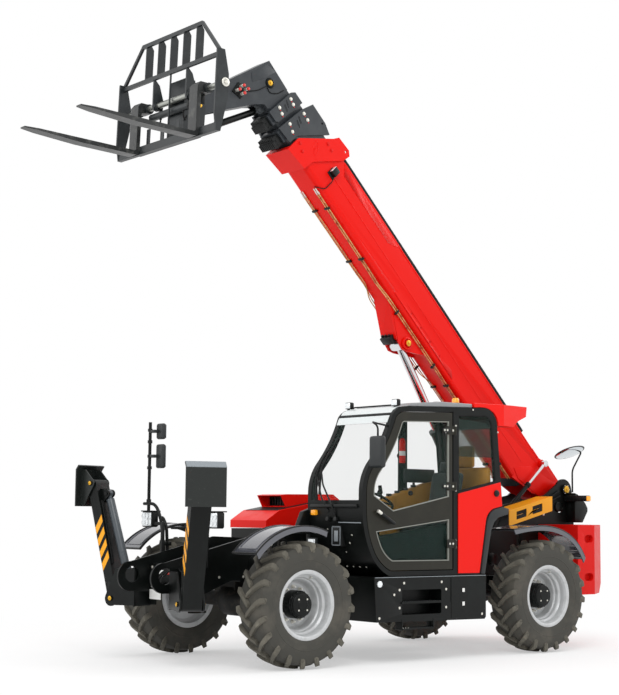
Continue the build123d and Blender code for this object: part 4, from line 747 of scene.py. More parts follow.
# ---------------------------------------------------------------- boom
@dataclass
class Boom(Assembly):
    """The red outer section, the three grey sections inside it, and the gooseneck."""

    body: str = "boom"
    angle: float = radians(45.5)
    half_width: float = 0.174
    low: float = -0.455
    top: float = 0.045
    mouth: float = 5.502
    lift_pin: tuple[float, float] = (2.855, -0.614)     # along the boom and across it
    neck_pin: tuple[float, float] = (6.137, -0.169)

    def build(self) -> None:
        """Dresses the sections, then adds what is bolted to them."""
        pivot = Vector(self.shop.joints["boom_lift"]["pos_m"])
        self.at = Matrix.Translation((pivot.x, 0, pivot.z)) @ Matrix.Rotation(-self.angle, 4, "Y")
        self.shop.dress(RED_ENAMEL, 3, "boom_outer")
        self.shop.dress(GREY_COAT, 3, "boom_second", "boom_third", "boom_fourth")
        self.shop.paint(ROD_CHROME, "lift_rod", "tilt_rod", "comp_rod")
        self.shop.dress(BLACK_COAT, 3, "lift_barrel", "comp_barrel", "tilt_barrel")
        self.seams()
        self.head()
        self.lift_bracket()
        self.hydraulic_lines()
        self.hose_track()
        self.collars()
        self.gooseneck()

    def seams(self) -> None:
        """Adds the long fold line, the weld beads and the embossed slots in red."""
        y = self.half_width
        shape = self.piece("boom_seams_red", RED_ENAMEL, twin=True)
        shape.block((0.66, y - 0.002, -0.213), (self.mouth - 0.62, y + 0.0035, -0.203), 0.0015)
        shape.block((0.5, y - 0.002, 0.02), (self.mouth - 0.6, y + 0.005, 0.034))
        # stiffening ring behind the head and a doubler at the tail
        shape.prism([(-0.03, -0.2), (0.2, -0.3), (0.56, -0.4), (0.7, -0.36), (0.52, -0.14), (0.2, -0.02),
                     (0.02, 0.07)], y - 0.002, y + 0.007)
        y += 0.022
        slots = []
        for u, v in ((5.262, -0.222), (5.305, -0.19)):
            slots.append([(u - 0.034, y, v - 0.052), (u + 0.018, y, v - 0.034), (u + 0.034, y, v + 0.052),
                          (u - 0.018, y, v + 0.034), (u - 0.034, y, v - 0.052)])
        slots += [[(u, -y, v) for u, y, v in slot] for slot in slots]
        self.pipes("boom_slots_red", RED_ENAMEL, slots, 0.003, 0.006)

    def head(self) -> None:
        """Bolts the head plates and hangs the work lamp below them."""
        y = self.half_width + 0.022
        bolts = self.piece("boom_bolts", RED_CASTING, twin=True)
        bolts.bolts([(5.453, y, -0.349), (5.368, y, -0.385), (5.216, y, -0.033), (5.136, y, -0.042)], 0.016,
                    0.01)
        bolts.bolts([(5.3, y - 0.022, -0.43), (5.36, y - 0.022, -0.47), (5.44, y - 0.022, -0.49)], 0.008,
                    0.006)
        bolts.bolts([(u, self.half_width + 0.008, -0.362) for u in (2.45, 2.66, 2.87, 3.08)], 0.006, 0.003)
        y = self.half_width
        lamp = self.piece("boom_lamp", BLACK_PLASTIC)
        lamp.block((4.885, y, -0.245), (4.985, y + 0.012, -0.15), 0.003)
        lamp.block((4.9, y + 0.012, -0.222), (4.975, y + 0.06, -0.13), 0.01)
        for i in range(4):
            lamp.block((4.896, y + 0.018 + i * 0.01, -0.218), (4.902, y + 0.023 + i * 0.01, -0.134), 0.001)
        lens = self.piece("boom_lamp_lens", CLEAR_LENS)
        lens.block((4.974, y + 0.018, -0.216), (4.979, y + 0.055, -0.136))
        self.pipes("boom_lamp_cable", SEAL_RUBBER,
                   [[(4.905, y + 0.03, -0.222), (4.88, y + 0.02, -0.26), (4.872, y + 0.006, -0.4),
                     (4.93, y + 0.006, -0.455), (4.96, y - 0.05, -0.462)]], 0.005, 0.05)

    def lift_bracket(self) -> None:
        """Adds the lift pin's gold heads and the black hose block on the bracket's web."""
        u, v = self.lift_pin
        self.piece("lift_pin_heads", GOLD_PIN, twin=True).pin((u, 0.16, v), 0.034, 0.007)
        block = self.piece("lift_hose_block", BLACK_PLASTIC)
        block.block((2.955, -0.085, -0.742), (3.045, 0.085, -0.668), 0.006)
        for y in (-0.055, 0.0, 0.055):
            block.rod((3.045, y, -0.705), (3.068, y, -0.705), 0.016, 6)
        ring = self.piece("lift_pin_collars", RED_ENAMEL, twin=True)
        ring.lathe([(0, 0.052), (0, 0.074), (0.014, 0.07), (0.018, 0.06), (0.018, 0.052)],
                   (u, 0.132, v), 40, closed=True)

    def hydraulic_lines(self) -> None:
        """Runs two groups of pipes under the boom and out past the lift bracket's sides."""
        under, side = self.low - 0.012, 0.142
        routes = []
        for k, y in enumerate((0.13, 0.098)):
            drop = self.low - 0.016 - 0.028 * k
            routes.append([(0.62, y, under), (2.16, y, under), (2.32, side, drop),
                           (3.42 + 0.03 * k, side, drop), (3.6 + 0.03 * k, y - 0.02, under),
                           (3.8, y - 0.01, under), (self.mouth - 0.62, y, under)])
        routes += [[(u, -y, v) for u, y, v in route] for route in routes]
        self.pipes("boom_pipes_copper", PIPE_COPPER, routes, 0.0062, 0.05, replaces=("boom_pipes",))
        clamps = self.piece("boom_pipe_clamps", BLACK_PLASTIC, twin=True)
        for u in (0.85, 1.5, 2.08, 3.95, 4.66):
            clamps.block((u, 0.066, self.low - 0.024), (u + 0.026, 0.144, self.low), 0.003)
        for u in (2.4, 3.2):
            clamps.block((u, 0.124, self.low - 0.072), (u + 0.022, 0.154, self.low - 0.004), 0.003)
        ends = self.piece("boom_pipe_ends", ZINC, slot="brass", twin=True)
        for y in (0.13, 0.098):
            ends.rod((self.mouth - 0.64, y, under), (self.mouth - 0.6, y, under), 0.01, 6, 0.001)
            ends.rod((self.mouth - 0.6, y, under), (self.mouth - 0.56, y, under), 0.007, 12)

    def hose_track(self) -> None:
        """Lays the black hose track along the top of the boom, link by link."""
        shape = self.piece("hose_track", SEAL_RUBBER)
        start, end, pitch = 0.9, self.mouth - 0.6, 0.062
        shape.block((start, 0.068, self.top), (end, 0.132, self.top + 0.04), 0.004)
        for i in range(int((end - start) / pitch)):
            u = start + i * pitch
            shape.block((u + 0.006, 0.065, self.top + 0.004), (u + pitch - 0.006, 0.135, self.top + 0.062),
                        0.0)
        shape.block((start, 0.138, self.top), (end + 0.05, 0.17, self.top + 0.034), 0.004)

    def collars(self) -> None:
        """Bolts each grey collar and hangs its roller block under its mouth."""
        sides = (("boom_second", 0.18, 0.126,
                  ((5.649, -0.067), (5.569, -0.074), (5.678, -0.307), (5.597, -0.336)), (5.622, -0.188),
                  (5.56, 5.69, -0.6, -0.459)),
                 ("boom_third", 0.158, 0.104,
                  ((5.862, -0.09), (5.8, -0.104), (5.882, -0.284), (5.815, -0.303)), (5.84, -0.19),
                  (5.765, 5.905, -0.56, -0.437)))
        for body, y, half, bolts, slot, (u0, u1, v0, v1) in sides:
            heads = self.piece(body + "_bolts", ZINC, body=body, slot="black", twin=True)
            heads.bolts([(u, y, v) for u, v in bolts], 0.015, 0.01)
            # the red caps' glow is painted light
            dots = self.piece(body + "_grease_caps", RED_LENS, body=body, twin=True)
            for u, v in bolts:
                dots.rod((u - 0.028, y, v - 0.012), (u - 0.028, y + 0.006, v - 0.012), 0.006, 12)
            u, v = slot
            rings = []
            for shift in (-0.024, 0.024):
                a, b = u + shift * 0.4, v + shift
                rings.append([(a - 0.04, y, b - 0.016), (a + 0.03, y, b + 0.004), (a + 0.04, y, b + 0.02),
                              (a - 0.03, y, b), (a - 0.04, y, b - 0.016)])
            rings += [[(p, -q, r) for p, q, r in ring] for ring in rings]
            self.pipes(body + "_slots", BLACK_COAT, rings, 0.0025, 0.004, body=body)
            block = self.piece(body + "_roller_block", BLACK_PLASTIC, body=body)
            block.block((u0, -half, v0 + 0.02), (u1 - 0.03, half, v1), 0.005)
            for i in range(9):
                across = -half + i * (2 * half - 0.018) / 8
                block.block((u1 - 0.034, across, v0 + 0.024), (u1, across + 0.018, v1 - 0.012), 0.003)
                block.block((u0 + 0.01, across, v0), (u1 - 0.04, across + 0.018, v0 + 0.024), 0.003)
            for s in (1, -1):
                block.bolts([(u0 + 0.03, s * half, v0 + 0.05), (u0 + 0.08, s * half, v0 + 0.05),
                             (u0 + 0.03, s * half, v1 - 0.03), (u0 + 0.08, s * half, v1 - 0.03)], 0.008,
                            out=(0, s, 0))

    def gooseneck(self) -> None:
        """Adds the gooseneck's pin, its hose couplers and the cable beside the pin."""
        self.body = "boom_fourth"
        y, (pin_u, pin_v) = 0.108, self.neck_pin
        boss = self.piece("neck_pin_collars", BLACK_COAT, twin=True)
        boss.lathe([(0, 0.034), (0, 0.058), (0.012, 0.054), (0.016, 0.046), (0.016, 0.034)],
                   (pin_u, y, pin_v), 40, closed=True)
        pin = self.piece("neck_pin_heads", GOLD_PIN, twin=True)
        pin.pin((pin_u, y + 0.004, pin_v), 0.033, 0.01)
        plate = self.piece("coupler_plate", BLACK_COAT)
        plate.prism([(6.235, -0.62), (6.36, -0.655), (6.385, -0.52), (6.27, -0.47)], y - 0.002, y + 0.012,
                    0.003)
        couplers = self.piece("couplers", ZINC, slot="brass")
        # the coupler caps' glow is painted light
        caps = self.piece("coupler_caps", RED_LENS)
        for u, v in ((6.275, -0.515), (6.335, -0.535), (6.27, -0.585), (6.335, -0.61)):
            couplers.rod((u, y + 0.01, v), (u, y + 0.055, v), 0.016, 6, 0.001)
            couplers.rod((u, y + 0.055, v), (u, y + 0.075, v), 0.012, 16)
            caps.rod((u, y + 0.072, v), (u, y + 0.088, v), 0.017, 18, 0.003)
        self.pipes("neck_cable", SEAL_RUBBER,
                   [[(6.125, y + 0.006, -0.235), (6.06, y + 0.006, -0.25), (5.99, y + 0.006, -0.16),
                     (5.975, y + 0.006, -0.07)],
                    [(6.14, y + 0.006, -0.235), (6.17, y + 0.006, -0.36), (6.245, y + 0.01, -0.49)]],
                   0.005, 0.04)
        trim = self.piece("neck_doublers", GREY_COAT, twin=True)
        trim.prism([(6.18, -0.02), (6.31, -0.06), (6.36, -0.3), (6.28, -0.36), (6.22, -0.2)], y - 0.002,
                   y + 0.004, 0.001)


@dataclass
class Carriage(Assembly):
    """The fork carriage at the gooseneck's end, with its shaft, forks and guard."""

    body: str = "carriage"
    tilt: float = radians(2.2)

    def build(self) -> None:
        """Dresses the carriage and adds its pins, collars and side shift."""
        pivot = Vector(self.shop.joints["carriage_tilt"]["pos_m"])
        self.at = Matrix.Translation((pivot.x, 0, pivot.z)) @ Matrix.Rotation(-self.tilt, 4, "Y")
        self.shop.dress(CARRIAGE_COAT, 3, "carriage")
        self.shop.dress(FORK_STEEL, 5, "forks")
        self.shop.dress(SHAFT_STEEL, 2, "fork_shaft")
        collars = self.piece("shaft_collars", CARRIAGE_COAT, twin=True)
        for y in (0.455, 0.625, 0.315, 0.285):
            collars.ring(0.0325, 0.052, 0.022, (0.22, y - 0.011, 0.03), 32)
        self.piece("carriage_pin_heads", GOLD_PIN, twin=True).pin((0, 0.156, 0), 0.027)
        ends = self.piece("shaft_heads", ZINC, twin=True)
        ends.disc(0.045, 0.008, 0.038, 0.012, (0.22, 0.902, 0.03), 32)
        ends.rod((0.22, 0.912, 0.03), (0.22, 0.922, 0.03), 0.016, 6, 0.001)
        self.piece("side_shift_rod", ROD_CHROME).rod((0.212, 0.31, -0.075), (0.212, 0.5, -0.075), 0.02)
        glands = self.piece("side_shift_fittings", BLACK_COAT)
        glands.ring(0.021, 0.046, 0.034, (0.212, 0.296, -0.075), 32)
        glands.block((0.185, 0.49, -0.11), (0.24, 0.515, 0.0), 0.004)
        for y in (-0.24, 0.18):
            glands.rod((0.212, y, -0.075), (0.212, y, -0.125), 0.014, 6, 0.001)
        lines = [[(0.212, -0.24, -0.12), (0.212, -0.24, -0.17), (0.16, -0.16, -0.2), (0.13, -0.12, -0.1),
                  (0.13, -0.12, 0.05)],
                 [(0.212, 0.18, -0.12), (0.212, 0.18, -0.17), (0.16, 0.15, -0.2), (0.13, 0.12, -0.1),
                  (0.13, 0.12, 0.05)]]
        self.pipes("side_shift_lines", SEAL_RUBBER, lines, 0.009, 0.04)
        welds = self.piece("carriage_back_ribs", CARRIAGE_COAT)
        welds.block((0.236, -0.55, -0.47), (0.252, 0.55, -0.385), 0.003)
        for y in (-0.4, -0.14, 0.14, 0.4):
            welds.block((0.24, y - 0.03, -0.385), (0.252, y + 0.03, -0.2), 0.003)


# ---------------------------------------------------------------- cab
@dataclass
class Cab(Assembly):
    """The cab with its door, glass, trim and what stands inside it."""

    left: float = 1.170
    hinges: tuple[float, float] = (1.80, 2.39)
    seat_x: float = -0.300
    seat_y: float = 0.735

    def build(self) -> None:
        """Dresses the shell and the door, then fits the trim and the inside."""
        self.shop.dress(BLACK_COAT, 9, "cab_shell")
        self.shop.dress(DOOR_COAT, 3, "cab_door")
        self.shop.dress(ROOF_GREY, 8, "cab_roof")
        self.shop.dress(RED_MOULDING, 4, "cab_panel")
        self.shop.dress(RED_MOULDING, 6, "roof_fairing")
        self.shop.paint(CAB_GLASS, "cab_glass", "door_glass")
        # the door panes' pale frame is a painted highlight on the black rubber gasket
        self.shop.gasket("door_glass", OUTWARD, 0.009, 0.0225, PANE_GASKET_HIGHLIGHT)
        self.shop.gasket("cab_glass", OUTWARD, 0.012, 0.004, SEAL_RUBBER)
        self.shop.gasket("cab_glass", (0, -1, 0), 0.014, 0.004, SEAL_RUBBER)
        self.door_fittings()
        self.outside()
        self.wipers()
        self.seat()
        self.controls()

    def door_fittings(self) -> None:
        """Bolts the hinges and fits the handle and the inside latches."""
        y = self.left
        bolts = self.piece("door_bolts", ZINC, body="cab_door")
        for z in (1.2, 1.8, 2.39):
            bolts.bolts([(-0.195, y + 0.012, z), (-0.24, y + 0.012, z)])
        arms = self.piece("door_hardware", BLACK_PLASTIC, body="cab_door")
        for z in self.hinges:
            arms.block((-0.205, y + 0.001, z - 0.022), (-0.085, y + 0.02, z + 0.022), 0.004)
        arms.block((-0.2, y + 0.001, 1.17), (-0.165, y + 0.014, 1.23), 0.004)
        for x, z in ((0.64, 1.42), (0.822, 1.522)):
            arms.rod((x, y, z), (x, y + 0.04, z), 0.014, 18, 0.002)
        arms.rod((0.615, y + 0.042, 1.406), (0.8, y + 0.042, 1.51), 0.0165, 18, 0.006)
        latch = self.piece("hinge_bolts", ZINC, body="cab_door")
        for z in self.hinges:
            latch.bolts([(-0.11, y + 0.02, z), (-0.15, y + 0.02, z)])
        latch.rod((0.795, y + 0.042, 1.507), (0.846, y + 0.042, 1.536), 0.0175, 18, 0.004)
        inside = self.piece("door_inner_latch", SEAL_RUBBER, body="cab_door")
        inside.rod((0.33, y - 0.044, 1.72), (0.33, y - 0.022, 1.72), 0.026, 20, 0.003)

    def outside(self) -> None:
        """Fits the wheel-arch trim, the fuel cap, the bolts on the pillar and the roof rail."""
        y = self.left
        trim = self.piece("arch_trim", GREY_PLASTIC)
        trim.prism([(-1.0, 1.592), (-0.862, 1.566), (-0.8, 1.53), (-0.768, 1.48), (-0.746, 1.424),
                    (-0.652, 0.88), (-0.712, 0.88), (-0.806, 1.33), (-0.852, 1.424), (-0.92, 1.478),
                    (-1.07, 1.512), (-1.085, 1.57)], y - 0.075, y + 0.02, 0.008)
        cap = self.piece("filler_cap", BLACK_PLASTIC)
        cap.lathe([(0, 0), (0, 0.036), (0.012, 0.036), (0.018, 0.03), (0.02, 0.022), (0.02, 0)],
                  (-0.893, y + 0.01, 1.737), 28)
        cap.block((-0.918, y + 0.028, 1.731), (-0.868, y + 0.036, 1.743))
        bolts = self.piece("pillar_bolts", ZINC)
        bolts.bolts([(-0.292, y, z) for z in (1.165, 1.235, 1.76, 2.44)])
        bolts.bolts([(-0.93, y, 2.4), (-0.55, y, 2.625)], 0.007, 0.006)
        rail = [[(0.47, 0.36, 2.612), (0.47, 0.4, 2.632), (0.47, 1.04, 2.632), (0.47, 1.08, 2.612)]]
        self.pipes("roof_rail", BLACK_COAT, rail, 0.008, 0.02)
        seal = self.piece("door_seal", SEAL_RUBBER)
        seal.block((-0.262, y - 0.03, 0.94), (-0.254, y + 0.004, 2.6), 0.001)
        self.front()
        self.shade_and_tint_sheets()
        roof = self.piece("roof_ribs", ROOF_GREY)
        for k in range(5):
            roof.block((-0.5, 0.4 + 0.15 * k, 2.6905), (-0.12, 0.46 + 0.15 * k, 2.698), 0.003)

    def front(self) -> None:
        """Adds the gauge box, the lip, the amber lamp, the bolts and the top band on the cab's front."""
        self.piece("gauge_box", BLACK_PLASTIC).block((0.925, 0.68, 1.17), (1.008, 0.83, 1.38), 0.008)
        rim = self.piece("gauge_rim", PALE_EDGE_STEEL)
        for low, high in (((1.007, 0.688, 1.178), (1.012, 0.822, 1.186)),
                          ((1.007, 0.688, 1.364), (1.012, 0.822, 1.372)),
                          ((1.007, 0.688, 1.178), (1.012, 0.696, 1.372)),
                          ((1.007, 0.814, 1.178), (1.012, 0.822, 1.372))):
            rim.block(low, high, 0.001)
        rim.block((1.002, 0.8, 1.408), (1.022, 1.14, 1.418), 0.003)
        rim.block((1.008, 0.727, 1.22), (1.014, 0.785, 1.33), 0.004)
        self.piece("front_turn_lamp", AMBER_LENS).block((1.01, 0.392, 1.484), (1.055, 0.462, 1.54), 0.01)
        bolts = self.piece("cab_front_bolts", ZINC)
        bolts.bolts([(0.99, y, 1.345) for y in (0.6, 0.5, 0.4)], 0.007, 0.006, out=(1, 0, -0.2))
        bolts.bolts([(0.979, 0.967, 1.288), (0.952, 0.905, 1.207), (0.905, 0.8, 1.115)], 0.008, 0.006,
                    out=(0.94, 0, -0.34))
        bolts.bolts([(0.79, 0.58 + 0.1 * k, 0.963) for k in range(5)], 0.008, 0.006, out=(0.64, 0, -0.76))
        band = self.piece("windscreen_band", TOP_BAND)
        band.prism([(0.655, 2.438), (0.632, 2.492), (0.572, 2.575), (0.5, 2.612), (0.498, 2.608),
                    (0.568, 2.57), (0.627, 2.489), (0.65, 2.436)], 0.33, 1.128, 0.0)

    def shade_and_tint_sheets(self) -> None:
        """Lays a dark sheet inside the lower door pane, painted shade for the dark lower cab behind it, and a
        smoke tint behind the quarter window's top.
        """
        # painted shade: a dark sheet that stands for the dark lower cab seen through the pane
        low = self.piece("lower_pane_tint", PAINTED_SHADE_GLASS, body="cab_door")
        low.prism([(-0.205, 1.0), (-0.205, 1.415), (0.76, 1.285), (0.735, 1.14), (0.64, 1.02), (0.56, 0.985)],
                  1.132, 1.136, 0.0)
        high = self.piece("quarter_tint", SMOKE_GLASS)
        high.prism([(-0.325, 2.12), (-0.325, 2.52), (-0.78, 2.49), (-0.905, 2.37), (-0.925, 2.12)], 1.15,
                   1.154, 0.0)

    def wipers(self) -> None:
        """Lays two wiper arms and their blades on the windscreen."""
        arms = [[(1.015, 0.765, 1.44), (1.05, 0.72, 1.6), (1.03, 0.56, 1.8), (0.962, 0.45, 1.955)],
                [(1.018, 0.64, 1.52), (1.046, 0.56, 1.66), (1.0, 0.43, 1.88)]]
        self.pipes("wiper_arms", BLACK_PLASTIC, arms, 0.009)
        blades = [[(1.026, 0.5, 1.7), (0.968, 0.45, 1.945), (0.88, 0.442, 2.09), (0.725, 0.452, 2.29)],
                  [(1.03, 0.47, 1.64), (1.008, 0.415, 1.88), (0.925, 0.4, 2.03), (0.84, 0.395, 2.15)]]
        self.pipes("wiper_blades", SEAL_RUBBER, blades, 0.012, 0.05)
        cowl = self.piece("windscreen_cowl", BLACK_PLASTIC)
        cowl.block((1.006, 0.36, 1.56), (1.04, 1.1, 1.6), 0.012)
        for y in (0.765, 0.64):
            cowl.rod((1.0, y, 1.44), (1.04, y, 1.45), 0.024, 18, 0.003)

    def cushion(self, name: str, low: Point, high: Point, turn: Matrix, crown: float) -> None:
        """Makes a crowned cushion whose sides pull in between its corners.

        Args:
            name: the piece's name.
            low: its lowest corner before it is turned.
            high: its highest corner.
            turn: its turn about its middle.
            crown: how far its face rises in the middle.
        """
        work = bmesh.new()
        bmesh.ops.create_cube(work, size=2.0)
        bmesh.ops.subdivide_edges(work, edges=work.edges, cuts=7, use_grid_fill=True)
        half = (Vector(high) - Vector(low)) / 2
        for v in work.verts:
            a, b, c = v.co
            pull = 1 - 0.045 * (1 - a * a) - 0.045 * (1 - b * b)
            thick = 1 + crown / half.z * (1 - a ** 4) * (1 - b ** 4) - 0.3 * max(abs(a), abs(b)) ** 8
            seam = 0.86 if 0.45 < abs(b) < 0.6 and c > 0.5 else 1.0
            v.co = Vector((a * half.x * pull, b * half.y * pull, c * half.z * thick * seam))
        bmesh.ops.smooth_vert(work, verts=work.verts, factor=0.5, use_axis_x=True, use_axis_y=True,
                              use_axis_z=True)
        bmesh.ops.transform(work, verts=work.verts,
                            matrix=Matrix.Translation((Vector(high) + Vector(low)) / 2) @ turn)
        bmesh.ops.recalc_face_normals(work, faces=work.faces)
        data = bpy.data.meshes.new(name)
        work.to_mesh(data)
        work.free()
        data.materials.append(SEAT_CLOTH.build())
        data.shade_smooth()
        piece = add_object(name, data)
        soft = piece.modifiers.new("soft", "SUBSURF")
        soft.levels = soft.render_levels = 1
        register(piece, "machine", ("seat",))

    def seat(self) -> None:
        """Builds the seat: its base, two cushions, headrest and armrest."""
        x, y = self.seat_x, self.seat_y
        base = self.piece("seat_base", BLACK_PLASTIC)
        base.block((x - 0.16, y - 0.15, 0.92), (x + 0.16, y + 0.15, 1.02), 0.01)
        for k in range(5):
            base.block((x - 0.15 + 0.01 * (k % 2), y - 0.14 + 0.01 * (k % 2), 1.02 + 0.055 * k),
                       (x + 0.15 - 0.01 * (k % 2), y + 0.14 - 0.01 * (k % 2), 1.075 + 0.055 * k), 0.012)
        base.block((x - 0.24, y - 0.22, 1.295), (x + 0.22, y + 0.22, 1.335), 0.012)
        base.block((x - 0.2, y + 0.215, 1.49), (x + 0.1, y + 0.265, 1.53), 0.015)
        base.rod((x - 0.18, y + 0.24, 1.36), (x - 0.18, y + 0.24, 1.5), 0.014, 16)
        self.cushion("seat_cushion", (x - 0.25, y - 0.235, 1.33), (x + 0.27, y + 0.235, 1.43),
                     Matrix.Rotation(-0.03, 4, "Y"), 0.018)
        lean = Matrix.Rotation(-pi / 2 - 0.2, 4, "Y")
        self.cushion("seat_back", (x - 0.53, y - 0.225, 1.645), (x + 0.03, y + 0.225, 1.735), lean, 0.018)
        self.cushion("seat_headrest", (x - 0.375, y - 0.13, 1.985), (x - 0.255, y + 0.13, 2.045), lean, 0.012)

    def controls(self) -> None:
        """Builds the dash, the tan side console, the steering wheel, the joystick and the extinguisher."""
        dash = self.piece("dash", BLACK_PLASTIC, replaces=("console",))
        dash.prism([(0.48, 0.92), (0.48, 1.48), (0.44, 1.55), (0.62, 1.63), (0.88, 1.6), (0.86, 1.26),
                    (0.62, 0.92)], 0.54, 0.84, 0.02)
        dash.block((0.5, 0.36, 1.46), (0.86, 0.52, 1.56), 0.02)
        side = self.piece("side_console", TAN_TRIM)
        side.prism([(-0.56, 0.92), (-0.56, 1.565), (-0.2, 1.6), (0.24, 1.5), (0.4, 1.44), (0.4, 1.34),
                    (0.26, 1.26), (0.26, 0.92)], 0.352, 0.48, 0.02)
        side.prism([(0.3, 1.5), (0.18, 1.64), (-0.56, 1.85), (-0.84, 1.905), (-0.84, 1.5), (-0.2, 1.5)],
                   0.352, 0.478, 0.018)
        side.block((-0.905, 0.36, 1.62), (-0.84, 1.1, 2.02), 0.03)
        side.block((-0.9, 0.62, 2.02), (-0.85, 0.86, 2.26), 0.03)
        self.piece("far_pillar", BLACK_COAT).block((-0.33, 0.352, 1.58), (-0.205, 0.376, 2.52), 0.006)
        screen = self.piece("console_screen", GREY_PLASTIC)
        screen.block((-0.7, 0.385, 1.85), (-0.25, 0.425, 2.0), 0.012)
        screen.rod((-0.4, 0.4, 1.72), (-0.4, 0.4, 1.86), 0.014, 14)
        for k in range(4):
            screen.block((-0.4 + 0.12 * k, 0.39, 1.8 - 0.034 * k),
                         (-0.36 + 0.12 * k, 0.44, 1.826 - 0.034 * k), 0.004)
        tilt = Matrix.Translation((0.43, self.seat_y, 1.64)) @ Matrix.Rotation(-pi / 6, 4, "Y")
        wheel = self.piece("steering_wheel", SEAL_RUBBER, at=tilt)
        wheel.lathe([(0.014 * sin(i * tau / 10), 0.172 + 0.014 * cos(i * tau / 10)) for i in range(10)],
                    sides=48, axis=UP, closed=True)
        wheel.lathe([(-0.02, 0), (-0.02, 0.036), (0.008, 0.04), (0.014, 0.03), (0.014, 0)], sides=28, axis=UP)
        for turn in (0, tau / 3, 2 * tau / 3):
            wheel.rod((0.03 * cos(turn), 0.03 * sin(turn), 0), (0.168 * cos(turn), 0.168 * sin(turn), 0),
                      0.01, 10)
        wheel.rod((0, 0, -0.19), (0, 0, -0.01), 0.026, 20)
        wheel.rod((0.12, 0.12, 0.0), (0.12, 0.12, 0.055), 0.016, 16, 0.004)
        stick = self.piece("joystick", BLACK_PLASTIC)
        stick.rod((0.1, 0.43, 1.64), (0.11, 0.43, 1.74), 0.012, 14)
        stick.rod((0.11, 0.43, 1.72), (0.125, 0.43, 1.81), 0.024, 18, 0.006, 0.02)
        bottle = self.piece("extinguisher", RED_ENAMEL)
        bottle.lathe([(0, 0), (0.0, 0.03), (0.01, 0.034), (0.235, 0.034), (0.262, 0.024), (0.27, 0.014),
                      (0.27, 0)], (-0.21, 0.422, 2.06), 32, axis=UP)
        head = self.piece("extinguisher_head", SEAL_RUBBER)
        head.rod((-0.21, 0.422, 2.325), (-0.21, 0.422, 2.352), 0.013, 14)
        head.block((-0.222, 0.409, 2.35), (-0.15, 0.435, 2.364), 0.003)
        head.rod((-0.21, 0.366, 2.14), (-0.21, 0.378, 2.14), 0.03, 12)
        label = self.piece("extinguisher_band", WHITE_ENAMEL)
        label.ring(0.0342, 0.0346, 0.05, (-0.21, 0.422, 2.14), 32, axis=UP)


